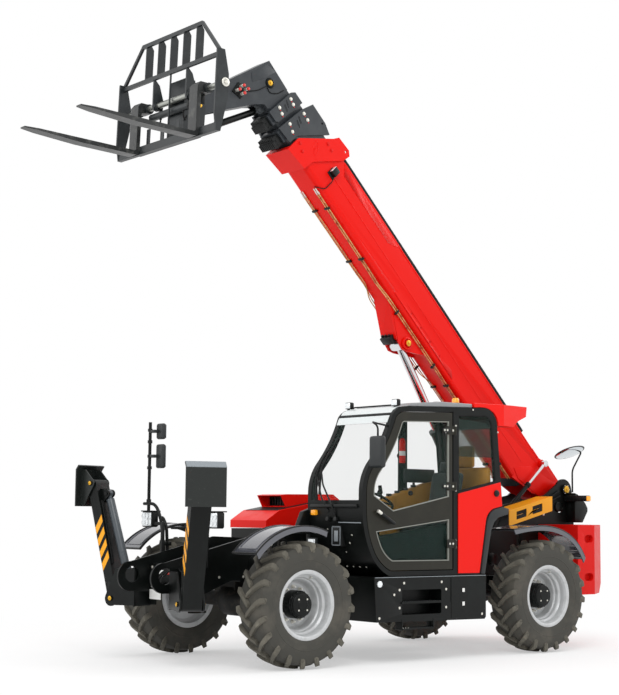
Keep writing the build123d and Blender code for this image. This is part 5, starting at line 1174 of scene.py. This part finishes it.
@dataclass
class Fittings(Assembly):
    """Lamps, mirrors, the beacon and the rear lamp bars."""

    def build(self) -> None:
        """Makes every fitting in place of its plain solid."""
        self.lamps()
        self.guards()
        self.mirrors()

    def lamps(self) -> None:
        """Makes housings and lenses for the work lamps, beacon and rear lamps."""
        black = self.piece("lamp_housings", BLACK_PLASTIC, replaces=("lamps",))
        clear = self.piece("lamp_lenses", CLEAR_LENS)
        for s in (1, -1):
            y0, y1 = sorted((s * 0.49, s * 0.672))
            black.block((2.36, y0, 1.345), (2.44, y1, 1.505), 0.012)
            black.block((2.33, y0 - 0.004, 1.503), (2.452, y1 + 0.004, 1.515), 0.003)
            for k in range(6):
                black.block((2.345, y0 + 0.012 + 0.028 * k, 1.355), (2.362, y0 + 0.02 + 0.028 * k, 1.495),
                            0.001)
            z0 = 1.358
            clear.block((2.438, y0 + 0.008, z0), (2.446, y1 - 0.008, 1.494), 0.003)
            for i in range(3):
                for j in range(2):
                    clear.lathe([(0, 0.03), (0.004, 0.026), (0.001, 0.01), (0.003, 0.0)],
                                (2.445, y0 + 0.034 + 0.057 * i, z0 + 0.036 + 0.064 * j), 20, axis=FORWARD)
            black.block((2.385, min(s * 0.335, s * 0.5), 1.368), (2.425, max(s * 0.335, s * 0.5), 1.4), 0.003)
            black.block((2.392, min(s * 0.312, s * 0.34), 0.9), (2.428, max(s * 0.312, s * 0.34), 1.4), 0.004)
            y0, y1 = sorted((s * 0.312, s * 0.66))
            black.block((-3.035, y0, 1.678), (-2.965, y1, 1.748), 0.006)
        for y in (0.345, 1.085):
            black.block((0.47, y - 0.048, 2.617), (0.516, y + 0.048, 2.688), 0.01)
            black.block((0.488, y - 0.012, 2.59), (0.512, y + 0.012, 2.617))
            black.block((0.462, y - 0.04, 2.625), (0.47, y + 0.04, 2.68))
            clear.block((0.515, y - 0.041, 2.624), (0.521, y + 0.041, 2.681), 0.003)
        black.disc(0.046, 0.01, 0.04, 0.014, (-0.455, 1.0, 2.69), 36, axis=UP)
        amber = self.piece("amber_lenses", AMBER_LENS)
        amber.lathe([(0, 0), (0, 0.04), (0.04, 0.037), (0.052, 0.028), (0.056, 0)], (-0.455, 1.0, 2.703), 36,
                    axis=UP)
        for s in (1, -1):
            y0, y1 = sorted((s * 0.6, s * 0.668))
            amber.block((-3.043, y0, 1.684), (-2.972, y1, 1.742), 0.006)
        amber.block((0.905, 0.312, 1.48), (0.965, 0.352, 1.535), 0.008)
        red = self.piece("red_lenses", RED_LENS)
        for s in (1, -1):
            y0, y1 = sorted((s * 0.4, s * 0.58))
            red.block((-3.041, y0, 1.686), (-3.034, y1, 1.74), 0.003)

    def guards(self) -> None:
        """Bends the tube guards over the headlamps."""
        tubes = []
        for s in (1, -1):
            tubes.append([(2.42, s * 0.665, 1.585), (2.42, s * 0.45, 1.585), (2.405, s * 0.372, 1.44),
                          (2.38, s * 0.352, 1.18), (2.38, s * 0.352, 0.98)])
            tubes.append([(2.35, s * 0.47, 1.44), (2.345, s * 0.425, 1.445), (2.34, s * 0.362, 1.36),
                          (2.33, s * 0.352, 1.1), (2.33, s * 0.352, 0.96)])
        self.pipes("lamp_guards", BLACK_COAT, tubes, 0.017, 0.09)
        feet = self.piece("guard_feet", BLACK_COAT, twin=True)
        for x in (2.38, 2.33):
            for z in (1.02, 1.18):
                feet.block((x - 0.022, 0.31, z - 0.02), (x + 0.022, 0.352, z + 0.02), 0.003)

    def mirrors(self) -> None:
        """Makes the door mirror, the mirrors on the front pole and the rear mirror."""
        shells = self.piece("mirror_shells", GREY_PLASTIC, replaces=("mirrors",))
        glass = self.piece("mirror_panes", MIRROR_GLASS)
        shells.block((0.896, 1.192, 1.962), (0.962, 1.399, 2.284), 0.03, segments=4)
        glass.block((0.8945, 1.222, 1.992), (0.897, 1.37, 2.254), 0.0)
        for z0, z1 in ((2.25, 2.415), (1.95, 2.2)):
            shells.block((2.312, -0.56, z0), (2.366, -0.43, z1), 0.024, segments=4)
            glass.block((2.3105, -0.548, z0 + 0.014), (2.313, -0.442, z1 - 0.014), 0.0)
            middle = (z0 + z1) / 2
            shells.block((2.36, -0.595, middle - 0.016), (2.424, -0.5, middle + 0.016), 0.006)
        lean = Matrix.Translation((-2.975, 0.4, 2.258)) @ Matrix.Rotation(0.42, 4, "X")
        lean = lean @ Matrix.Diagonal((1.9, 0.72, 0.8, 1))
        oval = self.piece("rear_mirror_shell", GREY_PLASTIC, at=lean)
        oval.lathe([(0.004, 0), (0.004, 0.094), (0.012, 0.1), (0.026, 0.085), (0.034, 0.05), (0.036, 0)],
                   sides=48, axis=UP)
        face = self.piece("rear_mirror_pane", MIRROR_GLASS, at=lean)
        face.lathe([(0.004, 0), (0.004, 0.09), (0.0, 0.088), (-0.008, 0.05), (-0.01, 0)], sides=48, axis=UP)
        arms = [[(0.652, 1.15, 2.4), (0.86, 1.165, 2.425), (0.93, 1.215, 2.425), (0.93, 1.3, 2.385),
                 (0.93, 1.3, 2.27)],
                [(-2.905, 0.5, 1.785), (-2.915, 0.49, 2.05), (-3.15, 0.44, 2.285), (-2.985, 0.4, 2.285)]]
        self.pipes("mirror_arms", BLACK_COAT, arms, 0.01, 0.05)
        self.pipes("mirror_pole", BLACK_COAT, [[(2.41, -0.595, 1.512), (2.41, -0.595, 2.428)]], 0.017)
        clips = self.piece("pole_clips", BLACK_PLASTIC)
        for z in (1.6, 1.94, 2.06, 2.21, 2.33):
            clips.ring(0.017, 0.025, 0.03, (2.41, -0.595, z), 20, axis=UP)


# ---------------------------------------------------------------- chassis
@dataclass
class Chassis(Assembly):
    """The frame, tower, tank, engine side, counterweight and axles."""

    plate: float = 0.310        # how far out the frame's side plates stand
    tank_side: float = 1.190

    def build(self) -> None:
        """Dresses the heavy pieces and adds what is bolted to them."""
        self.shop.dress(BLACK_COAT, 4, "frame_plates", "frame_cross", "stab_brackets", "tank", "engine_bay")
        self.shop.dress(AXLE_IRON, 6, "axles", *("knuckle_" + tag for tag in CORNERS))
        self.shop.dress(GUARD_PLASTIC, 8, *("fender_" + tag for tag in CORNERS))
        self.shop.dress(RED_CASTING, 22, "counterweight")
        self.shop.dress(RED_MOULDING, 8, "hood")
        self.shop.dress(YELLOW_ENAMEL, 3, "guard")
        self.shop.dress(AXLE_IRON, 10, "engine")
        self.tank()
        self.tower()
        self.engine_side()
        self.nose()
        self.mudguards()
        self.counterweight()

    def tank(self) -> None:
        """Adds the tank's bolts, treads, cap and blank plates."""
        y = self.tank_side
        bolts = self.piece("tank_bolts", ZINC)
        bolts.bolts([(0.465, y, 0.805), (-0.065, y, 0.807), (0.527, y, 0.737), (-0.13, y, 0.731),
                     (0.526, y, 0.556), (-0.13, y, 0.546), (0.6, y, 0.69), (-0.66, y, 0.46), (0.8, y, 0.46)],
                    0.01, 0.006)
        bolts.bolts([(0.3 + 0.035 * k, y, 0.605 - 0.253 * (k > 2)) for k in range(6)], 0.004, 0.003)
        plates = self.piece("blank_plates", WHITE_ENAMEL)
        for z in (0.716, 0.575):
            plates.block((-0.402, y - 0.001, z - 0.02), (-0.368, y + 0.002, z + 0.02), 0.0005)
        treads = self.piece("step_treads", GREY_PLASTIC)
        for x0, x1, y1, z in ((-0.06, 0.5, 1.198, 0.615), (0.055, 0.485, 1.198, 0.35)):
            count = int((x1 - x0) / 0.03)
            for i in range(count):
                for j in range(3):
                    treads.rod((x0 + 0.015 + i * 0.03, y1 - 0.015 - 0.035 * j, z),
                               (x0 + 0.015 + i * 0.03, y1 - 0.015 - 0.035 * j, z + 0.004), 0.008, 8, 0.0,
                               0.005)
        # the sight cap's glow is painted light
        cap = self.piece("sight_cap", CLEAR_LENS, slot="silver")
        cap.disc(0.032, 0.01, 0.026, 0.014, (0.8, y, 0.8), 28)
        edge = self.piece("tank_edges", BLACK_COAT)
        edge.block((-0.2, y - 0.001, 0.6), (-0.196, y + 0.003, 0.85), 0.001)
        edge.block((-0.21, y - 0.001, 0.43), (-0.206, y + 0.003, 0.85), 0.001)
        edge.block((0.045, y - 0.105, 0.334), (0.495, y + 0.006, 0.35), 0.004)
        for x in (0.045, 0.483):
            edge.block((x, y - 0.1, 0.345), (x + 0.012, y + 0.004, 0.44))
        # painted highlight: a pale strip where the tank's top lip catches the sky
        lip = self.piece("tank_lip", PALE_EDGE_STEEL, slot="black")
        lip.block((-0.715, y - 0.004, 0.862), (0.86, y + 0.003, 0.868), 0.001)

    def tower(self) -> None:
        """Adds the boom tower's pins, bolts and inner hoses."""
        plate = self.plate
        self.piece("tower_pin_heads", GOLD_PIN, twin=True).pin((-2.98, 0.34, 1.82), 0.044, 0.01)
        bolts = self.piece("frame_bolts", ZINC, twin=True)
        bolts.bolts([(-2.98 + 0.053 * cos(k * tau / 6), 0.34, 1.82 + 0.053 * sin(k * tau / 6))
                     for k in range(6)], 0.0045, 0.004)
        bolts.bolts([(-3.05, plate, 1.7), (-3.05, plate, 1.45), (-2.7, plate, 1.6), (-2.6, plate, 1.52),
                     (-3.06, plate, 1.15), (-2.3, plate, 1.05), (-1.6, plate, 0.98)], 0.012, 0.009)
        bolts.bolts([(1.35 + 0.15 * k, plate, 1.18) for k in range(4)], 0.01)
        bolts.bolts([(1.25 + 0.3 * k, plate, 0.86) for k in range(5)], 0.01)
        bosses = self.piece("frame_bosses", BLACK_COAT)
        for x, z, r in ((-2.05, 1.0, 0.08), (1.72, 1.0, 0.07), (-1.72, 1.0, 0.07)):
            bosses.disc(r, 0.006, r - 0.006, 0.01, (x, plate, z), 40)
        bosses.prism([(-2.1, 1.6), (-1.92, 1.56), (-1.78, 1.33), (-2.1, 1.36), (-2.3, 1.5)], plate, 0.316,
                     0.003)
        bosses.twin()
        for y in (0.311, -0.336):
            bosses.lathe([(0, 0), (0, 0.06), (0.02, 0.058), (0.025, 0.05), (0.025, 0)], (-2.852, y, 1.609),
                         36)
        for y0, y1 in ((0.305, 0.455), (-0.455, -0.305)):
            bosses.prism([(-3.0, 1.78), (-3.06, 1.76), (-3.19, 1.66), (-3.232, 1.6), (-3.232, 1.56),
                          (-3.14, 1.425), (-3.0, 1.425)], y0, y1, 0.006)
        lines = [[(-1.95, 0.325, 1.58), (-2.3, 0.325, 1.645), (-2.66, 0.325, 1.7), (-2.86, 0.325, 1.8)],
                 [(-1.95, 0.325, 1.55), (-2.3, 0.325, 1.615), (-2.68, 0.325, 1.665), (-2.88, 0.325, 1.74)]]
        self.pipes("tower_lines", SEAL_RUBBER, lines, 0.01, 0.08)

    def engine_side(self) -> None:
        """Adds the hood's scoop grille, seams and latches, and louvres on the engine bay."""
        scoop = self.piece("scoop_grille", BLACK_PLASTIC, body="hood")
        scoop.block((0.44, -1.066, 1.585), (0.455, -0.654, 1.688))
        for k in range(9):
            scoop.block((0.452, -1.06 + 0.048 * k, 1.575), (0.47, -1.048 + 0.048 * k, 1.685), 0.001)
        for k in range(4):
            scoop.block((0.456, -1.064, 1.592 + 0.026 * k), (0.464, -0.656, 1.598 + 0.026 * k), 0.001)
        louvres = self.piece("bay_louvres", BLACK_PLASTIC)
        for x0 in (-0.7, 0.1):
            for k in range(9):
                louvres.block((x0, -1.158, 0.78 + 0.052 * k), (x0 + 0.62, -1.146, 0.8 + 0.052 * k), 0.004,
                              Matrix.Rotation(0.25, 4, "X"))
        for k in range(10):
            louvres.block((0.939, -1.08, 0.78 + 0.048 * k), (0.948, -0.52, 0.8 + 0.048 * k), 0.003)
        seam = self.piece("hood_seam", BLACK_PLASTIC, body="hood")
        seam.prism([(0.765, 1.5305), (0.7, 1.5425), (0.25, 1.6215), (0.25, 1.6245), (0.704, 1.5465),
                    (0.77, 1.5335)], -1.12, -0.54, 0.0)
        panel = self.piece("front_cowl", BLACK_COAT)
        panel.block((0.96, 0.245, 0.9), (0.99, 0.304, 1.55), 0.006)
        panel.prism([(0.962, 1.29), (1.18, 1.29), (1.08, 1.52), (0.962, 1.56)], 0.24, 0.305, 0.01)
        self.piece("gauge_frame", GREY_PLASTIC).block((0.99, 0.305, 1.06), (1.02, 0.44, 1.25), 0.004)
        # the gauge pane's glow is painted light
        pane = self.piece("gauge_pane", CLEAR_LENS, slot="silver")
        pane.block((1.019, 0.318, 1.074), (1.023, 0.427, 1.236), 0.001)

    def nose(self) -> None:
        """Adds blank plates, hoses and bolts at the nose between the stabilisers."""
        plates = self.piece("nose_blank_plates", WHITE_ENAMEL)
        plates.block((2.576, -0.2, 0.86), (2.58, -0.02, 0.925), 0.001)
        plates.block((2.576, -0.286, 0.632), (2.58, -0.085, 0.728), 0.001)
        # the reflector's glow is painted light
        self.piece("nose_reflector", RED_LENS).block((2.576, 0.01, 0.885), (2.581, 0.12, 0.915), 0.001)
        lines = [[(2.58, -0.1 + 0.05 * k, 0.8), (2.66, -0.08 + 0.05 * k, 0.78), (2.72, 0.02 + 0.05 * k, 0.84),
                  (2.66, 0.1 + 0.04 * k, 0.93), (2.58, 0.12 + 0.04 * k, 0.95)] for k in range(3)]
        self.pipes("nose_lines", SEAL_RUBBER, lines, 0.01, 0.05)
        bolts = self.piece("nose_bolts", ZINC)
        bolts.bolts([(2.575, y, z) for y in (-0.25, 0.25) for z in (0.76, 0.95)], 0.011, 0.008, out=FORWARD)

    def rim_line(self, tag: str, y: float) -> list[Point]:
        """Finds the top line of a mudguard's side, from end to end.

        Args:
            tag: the wheel's corner.
            y: how far out the side is.

        Returns:
            Its points, in order round the wheel.
        """
        node, hub = self.shop.nodes[f"fender_{tag}"], Vector(self.shop.joints[f"spin_{tag}"]["pos_m"])
        corners = [node.matrix_world @ v.co for v in node.data.vertices]
        side = [c for c in corners if abs(abs(c.y) - y) < 0.002]
        polar = sorted({(round(atan2(c.z - hub.z, c.x - hub.x), 3),
                         round(sqrt((c.x - hub.x) ** 2 + (c.z - hub.z) ** 2), 4)) for c in side})
        top = [(t, r) for t, r in polar if not any(abs(t - u) < 0.06 and q > r + 0.009 for u, q in polar)]
        line: list[Point] = []
        last = -tau
        for t, r in top:
            if abs(t - last) > 0.05:
                line.append((hub.x + r * cos(t), y if tag.endswith("l") else -y, hub.z + r * sin(t)))
                last = t
        return line

    def mudguards(self) -> None:
        """Adds a black bead round each mudguard and a raised line on its top."""
        for tag in CORNERS:
            s = 1 if tag.endswith("l") else -1
            outer, inner = self.rim_line(tag, 1.2), self.rim_line(tag, 0.818)
            ends = [[outer[0], inner[0]], [outer[-1], inner[-1]]]
            sides = [[(x, y - s * 0.01, z) for x, y, z in outer],
                     [(x, y + s * 0.006, z) for x, y, z in inner]]
            self.pipes(f"mudguard_bead_{tag}", BLACK_PLASTIC,
                       sides + [[(x, y * 0.996, z) for x, y, z in end] for end in ends], 0.011, 0.05,
                       body=f"knuckle_{tag}")
            raised = [(x, y - s * 0.06, z + 0.002) for x, y, z in outer[1:-1]]
            raised += [(x, y + s * 0.05, z + 0.002) for x, y, z in reversed(inner[1:-1])]
            self.pipes(f"mudguard_fold_{tag}", GUARD_PLASTIC, [raised + [raised[0]]], 0.007, 0.05,
                       body=f"knuckle_{tag}")

    def counterweight(self) -> None:
        """Adds the counterweight's tow pin between its two lugs."""
        iron = self.piece("tow_pin", BLACK_COAT)
        iron.block((-3.236, -0.1, 0.86), (-3.15, -0.07, 1.02), 0.006)
        iron.block((-3.236, 0.07, 0.86), (-3.15, 0.1, 1.02), 0.006)
        iron.rod((-3.205, 0, 0.82), (-3.205, 0, 1.06), 0.018, 20, 0.003)


@dataclass
class Stabiliser(Assembly):
    """One stabiliser leg with its foot plate, cylinder and warning stripes."""

    side: Side
    length: float = 1.250
    depth: float = 0.114
    width: float = 0.200
    eye: float = 0.050         # from the leg's end to the foot plate's pin
    splay: float = radians(18)
    lean: float = radians(75)
    word: str = field(default="", init=False)
    foot: Vector = field(default_factory=Vector, init=False)    # the leg's hinge
    pad: Matrix = field(default_factory=Matrix, init=False)     # the foot plate's frame

    def build(self) -> None:
        """Dresses the leg's nodes and adds its stripes, pins and lines."""
        self.word = word = self.side.name.lower()
        self.body = f"leg_{word}"
        hinge = Vector((cos(self.splay), -sin(self.splay), 0))
        outward = Vector((sin(self.splay), cos(self.splay), 0))
        along = outward * cos(self.lean) + Vector((0, 0, sin(self.lean)))
        foot = Vector(self.shop.joints[f"leg_{word}_swing"]["pos_m"])
        foot.y = abs(foot.y)
        turn = Matrix((along, hinge.cross(along), hinge)).transposed().to_4x4()
        self.at = Matrix.Diagonal((1, self.side.value, 1, 1)) @ Matrix.Translation(foot) @ turn
        pivot = foot + along * (self.length - self.eye)
        face = Matrix((outward, (0, 0, 1), hinge)).transposed().to_4x4()
        self.pad = Matrix.Diagonal((1, self.side.value, 1, 1)) @ Matrix.Translation(pivot) @ face
        self.foot = Matrix.Diagonal((1, self.side.value, 1)) @ foot
        shop = self.shop
        shop.dress(BLACK_COAT, 5, f"leg_{word}")
        shop.dress(FOOT_STEEL, 4, f"pad_{word}")
        shop.dress(BARREL_GREY, 3, f"leg_barrel_{word}")
        shop.paint(ROD_CHROME, f"leg_rod_{word}")
        self.stripes()
        self.pins()

    def stripes(self) -> None:
        """Lays four slanting yellow stripes on the leg's front face."""
        shape = self.piece(f"leg_stripes_{self.word}", YELLOW_ENAMEL)
        face, half, pitch, tall = self.width / 2, self.depth / 2 - 0.004, 0.126, 0.072
        for k in range(4):
            u = 0.295 + k * pitch
            shape.prism([(u, -half), (u + tall, -half), (u + tall + 0.11, half), (u + 0.11, half)],
                        face - 0.001, face + 0.0015, 0.0, Across.Z)

    def pins(self) -> None:
        """Adds the pins' gold heads, the cheek plate at the leg's foot and the hydraulic lines."""
        gold = self.piece(f"leg_pin_heads_{self.word}", GOLD_PIN)
        half = self.width / 2 + 0.008
        for u, v, n, r in ((0.0, 0.0, half + 0.032, 0.022),
                           (self.length - self.eye, 0.0, half + 0.026, 0.02)):
            gold.pin((u, v, n), r, 0.005, axis=UP)
            gold.pin((u, v, -n), r, 0.005, axis=(0, 0, -1))
        back = self.pad.to_3x3().inverted() @ (self.foot - self.pad.translation)
        clevis = self.piece(f"clevis_pin_{self.word}", GOLD_PIN, body="machine",
                            at=self.pad @ Matrix.Translation(back))
        clevis.pin((-0.12, 0.22, 0.101), 0.02, 0.006, axis=UP)
        lip = self.piece(f"pad_lip_{self.word}", PALE_EDGE_STEEL, body=f"pad_{self.word}", slot="iron", at=self.pad)
        lip.prism([(0.137, 0.141), (0.1375, 0.133), (0.1385, 0.141), (0.104, 0.188), (0.1028, 0.1872)],
                  -0.197, 0.197, 0.0, Across.Z)
        plate = self.piece(f"leg_cheek_{self.word}", BLACK_COAT)
        ring = [(0.052 * cos(t * pi / 8 + pi / 2), 0.052 * sin(t * pi / 8 + pi / 2)) for t in range(9)]
        plate.prism([*ring, (0.16, -0.02), (0.175, 0.0), (0.16, 0.02)], self.width / 2 - 0.001,
                    self.width / 2 + 0.0055, 0.002, Across.Z)
        lines = [[(self.length - 0.25, 0.064, 0.052 + 0.02 * k), (self.length - 0.4, 0.067, 0.052 + 0.02 * k),
                  (0.42, 0.067, 0.052 + 0.02 * k), (0.34, 0.064, 0.06 + 0.02 * k)] for k in range(2)]
        self.pipes(f"leg_lines_{self.word}", SEAL_RUBBER, lines, 0.007, 0.05)


# ---------------------------------------------------------------- scene
@dataclass
class Studio:
    """A pale floor, soft lights and the camera."""

    place: Point = (11.13378, 12.77428, 1.49916)
    look: Point = (-0.62627799, -0.77205333, 0.10821061)
    up: Point = (0.07605321, 0.07763609, 0.99407673)
    lens: float = 79.054
    clear_from: float = 3.2     # metres from the middle where the floor starts to go plain white
    clear_to: float = 6.5
    sky: float = 0.75

    def build(self) -> None:
        """Sets the camera, floor, world and lights."""
        self.camera()
        self.floor()
        self.world()
        self.lights()

    def camera(self) -> None:
        """Places the camera."""
        data = bpy.data.cameras.new("camera")
        data.lens, data.sensor_width, data.clip_end = self.lens, 36.0, 200.0
        camera = add_object("camera", data)
        look, up = Vector(self.look), Vector(self.up)
        right = look.cross(up).normalized()
        turn = Matrix((right, right.cross(look), -look)).transposed()
        camera.matrix_world = Matrix.Translation(self.place) @ turn.to_4x4()
        bpy.context.scene.camera = camera

    def seen(self, tree: bpy.types.NodeTree) -> bpy.types.NodeSocket:
        """Gives 1 for what the camera, a reflection or glass shows, and 0 for light."""
        rays = add_node(tree, "ShaderNodeLightPath").outputs
        total = add_node(tree, "ShaderNodeMath", {"operation": "ADD"},
                         {0: rays["Is Camera Ray"], 1: rays["Is Glossy Ray"]})
        return add_node(tree, "ShaderNodeMath", {"operation": "ADD", "use_clamp": True},
                        {0: total.outputs[0], 1: rays["Is Transmission Ray"]}).outputs[0]

    def floor(self) -> None:
        """Lays a white floor that keeps the shadow near the wheels and shows plain white beyond."""
        work = bmesh.new()
        bmesh.ops.create_grid(work, x_segments=1, y_segments=1, size=60.0)
        data = bpy.data.meshes.new("floor")
        work.to_mesh(data)
        work.free()
        floor = add_object("floor", data)
        made = bpy.data.materials.new("studio_floor")
        made.use_nodes = True
        tree = made.node_tree
        shader = tree.nodes["Principled BSDF"]
        for socket, value in {"Base Color": WHITE, "Roughness": 0.9, "Specular IOR Level": 0.0}.items():
            shader.inputs[socket].default_value = value
        place = add_node(tree, "ShaderNodeTexCoord").outputs["Object"]
        reach = add_node(tree, "ShaderNodeVectorMath", {"operation": "LENGTH"}, {"Vector": place})
        far = add_node(tree, "ShaderNodeMapRange",
                       {"interpolation_type": "SMOOTHSTEP", "From Min": self.clear_from,
                        "From Max": self.clear_to, "To Min": 0.45, "To Max": 1.0},
                       {"Value": reach.outputs["Value"]})
        amount = add_node(tree, "ShaderNodeMath", {"operation": "MULTIPLY"},
                          {0: far.outputs["Result"], 1: self.seen(tree)})
        glow = add_node(tree, "ShaderNodeEmission", {"Color": WHITE, "Strength": 1.0})
        mix = add_node(tree, "ShaderNodeMixShader", {},
                       {0: amount.outputs[0], 1: shader.outputs[0], 2: glow.outputs[0]})
        tree.links.new(mix.outputs[0], tree.nodes["Material Output"].inputs["Surface"])
        data.materials.append(made)

    def world(self) -> None:
        """Makes the sky: plain white where it is seen, softer where it lights."""
        bpy.context.scene.view_settings.view_transform = "Standard"
        world = bpy.data.worlds.new("studio")
        bpy.context.scene.world = world
        world.use_nodes = True
        tree = world.node_tree
        tree.nodes.clear()
        sky = add_node(tree, "ShaderNodeBackground", {"Color": WHITE, "Strength": self.sky})
        white = add_node(tree, "ShaderNodeBackground", {"Color": WHITE, "Strength": 1.0})
        mix = add_node(tree, "ShaderNodeMixShader", {},
                       {0: self.seen(tree), 1: sky.outputs[0], 2: white.outputs[0]})
        add_node(tree, "ShaderNodeOutputWorld", {}, {"Surface": mix.outputs[0]})

    def lights(self) -> None:
        """Hangs a large key lamp at the front left, a fill and a back lamp."""
        for name, place, size, power in (("key", (9.0, 9.0, 12.0), 7.0, 800.0),
                                         ("fill", (12.0, -6.0, 7.0), 8.0, 260.0),
                                         ("back", (-9.0, 4.0, 10.0), 8.0, 400.0)):
            data = bpy.data.lights.new(name, "AREA")
            data.size, data.energy = size, power
            lamp = add_object(name, data)
            aim = (Vector((0, 0, 2.0)) - Vector(place)).to_track_quat("-Z", "Y")
            lamp.matrix_world = Matrix.Translation(place) @ aim.to_matrix().to_4x4()


def main() -> None:
    """Builds the classes in order."""
    logging.basicConfig(level=logging.INFO, format="%(message)s")
    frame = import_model()
    shop = Workshop.open(frame)
    Studio().build()
    for tag in CORNERS:
        RoadWheel(shop, tag).build()
    for part in (Boom(shop), Carriage(shop), Cab(shop), Fittings(shop), Chassis(shop),
                 Stabiliser(shop, Side.LEFT), Stabiliser(shop, Side.RIGHT)):
        part.build()
    shop.deliver()


if __name__ == "__main__":
    main()
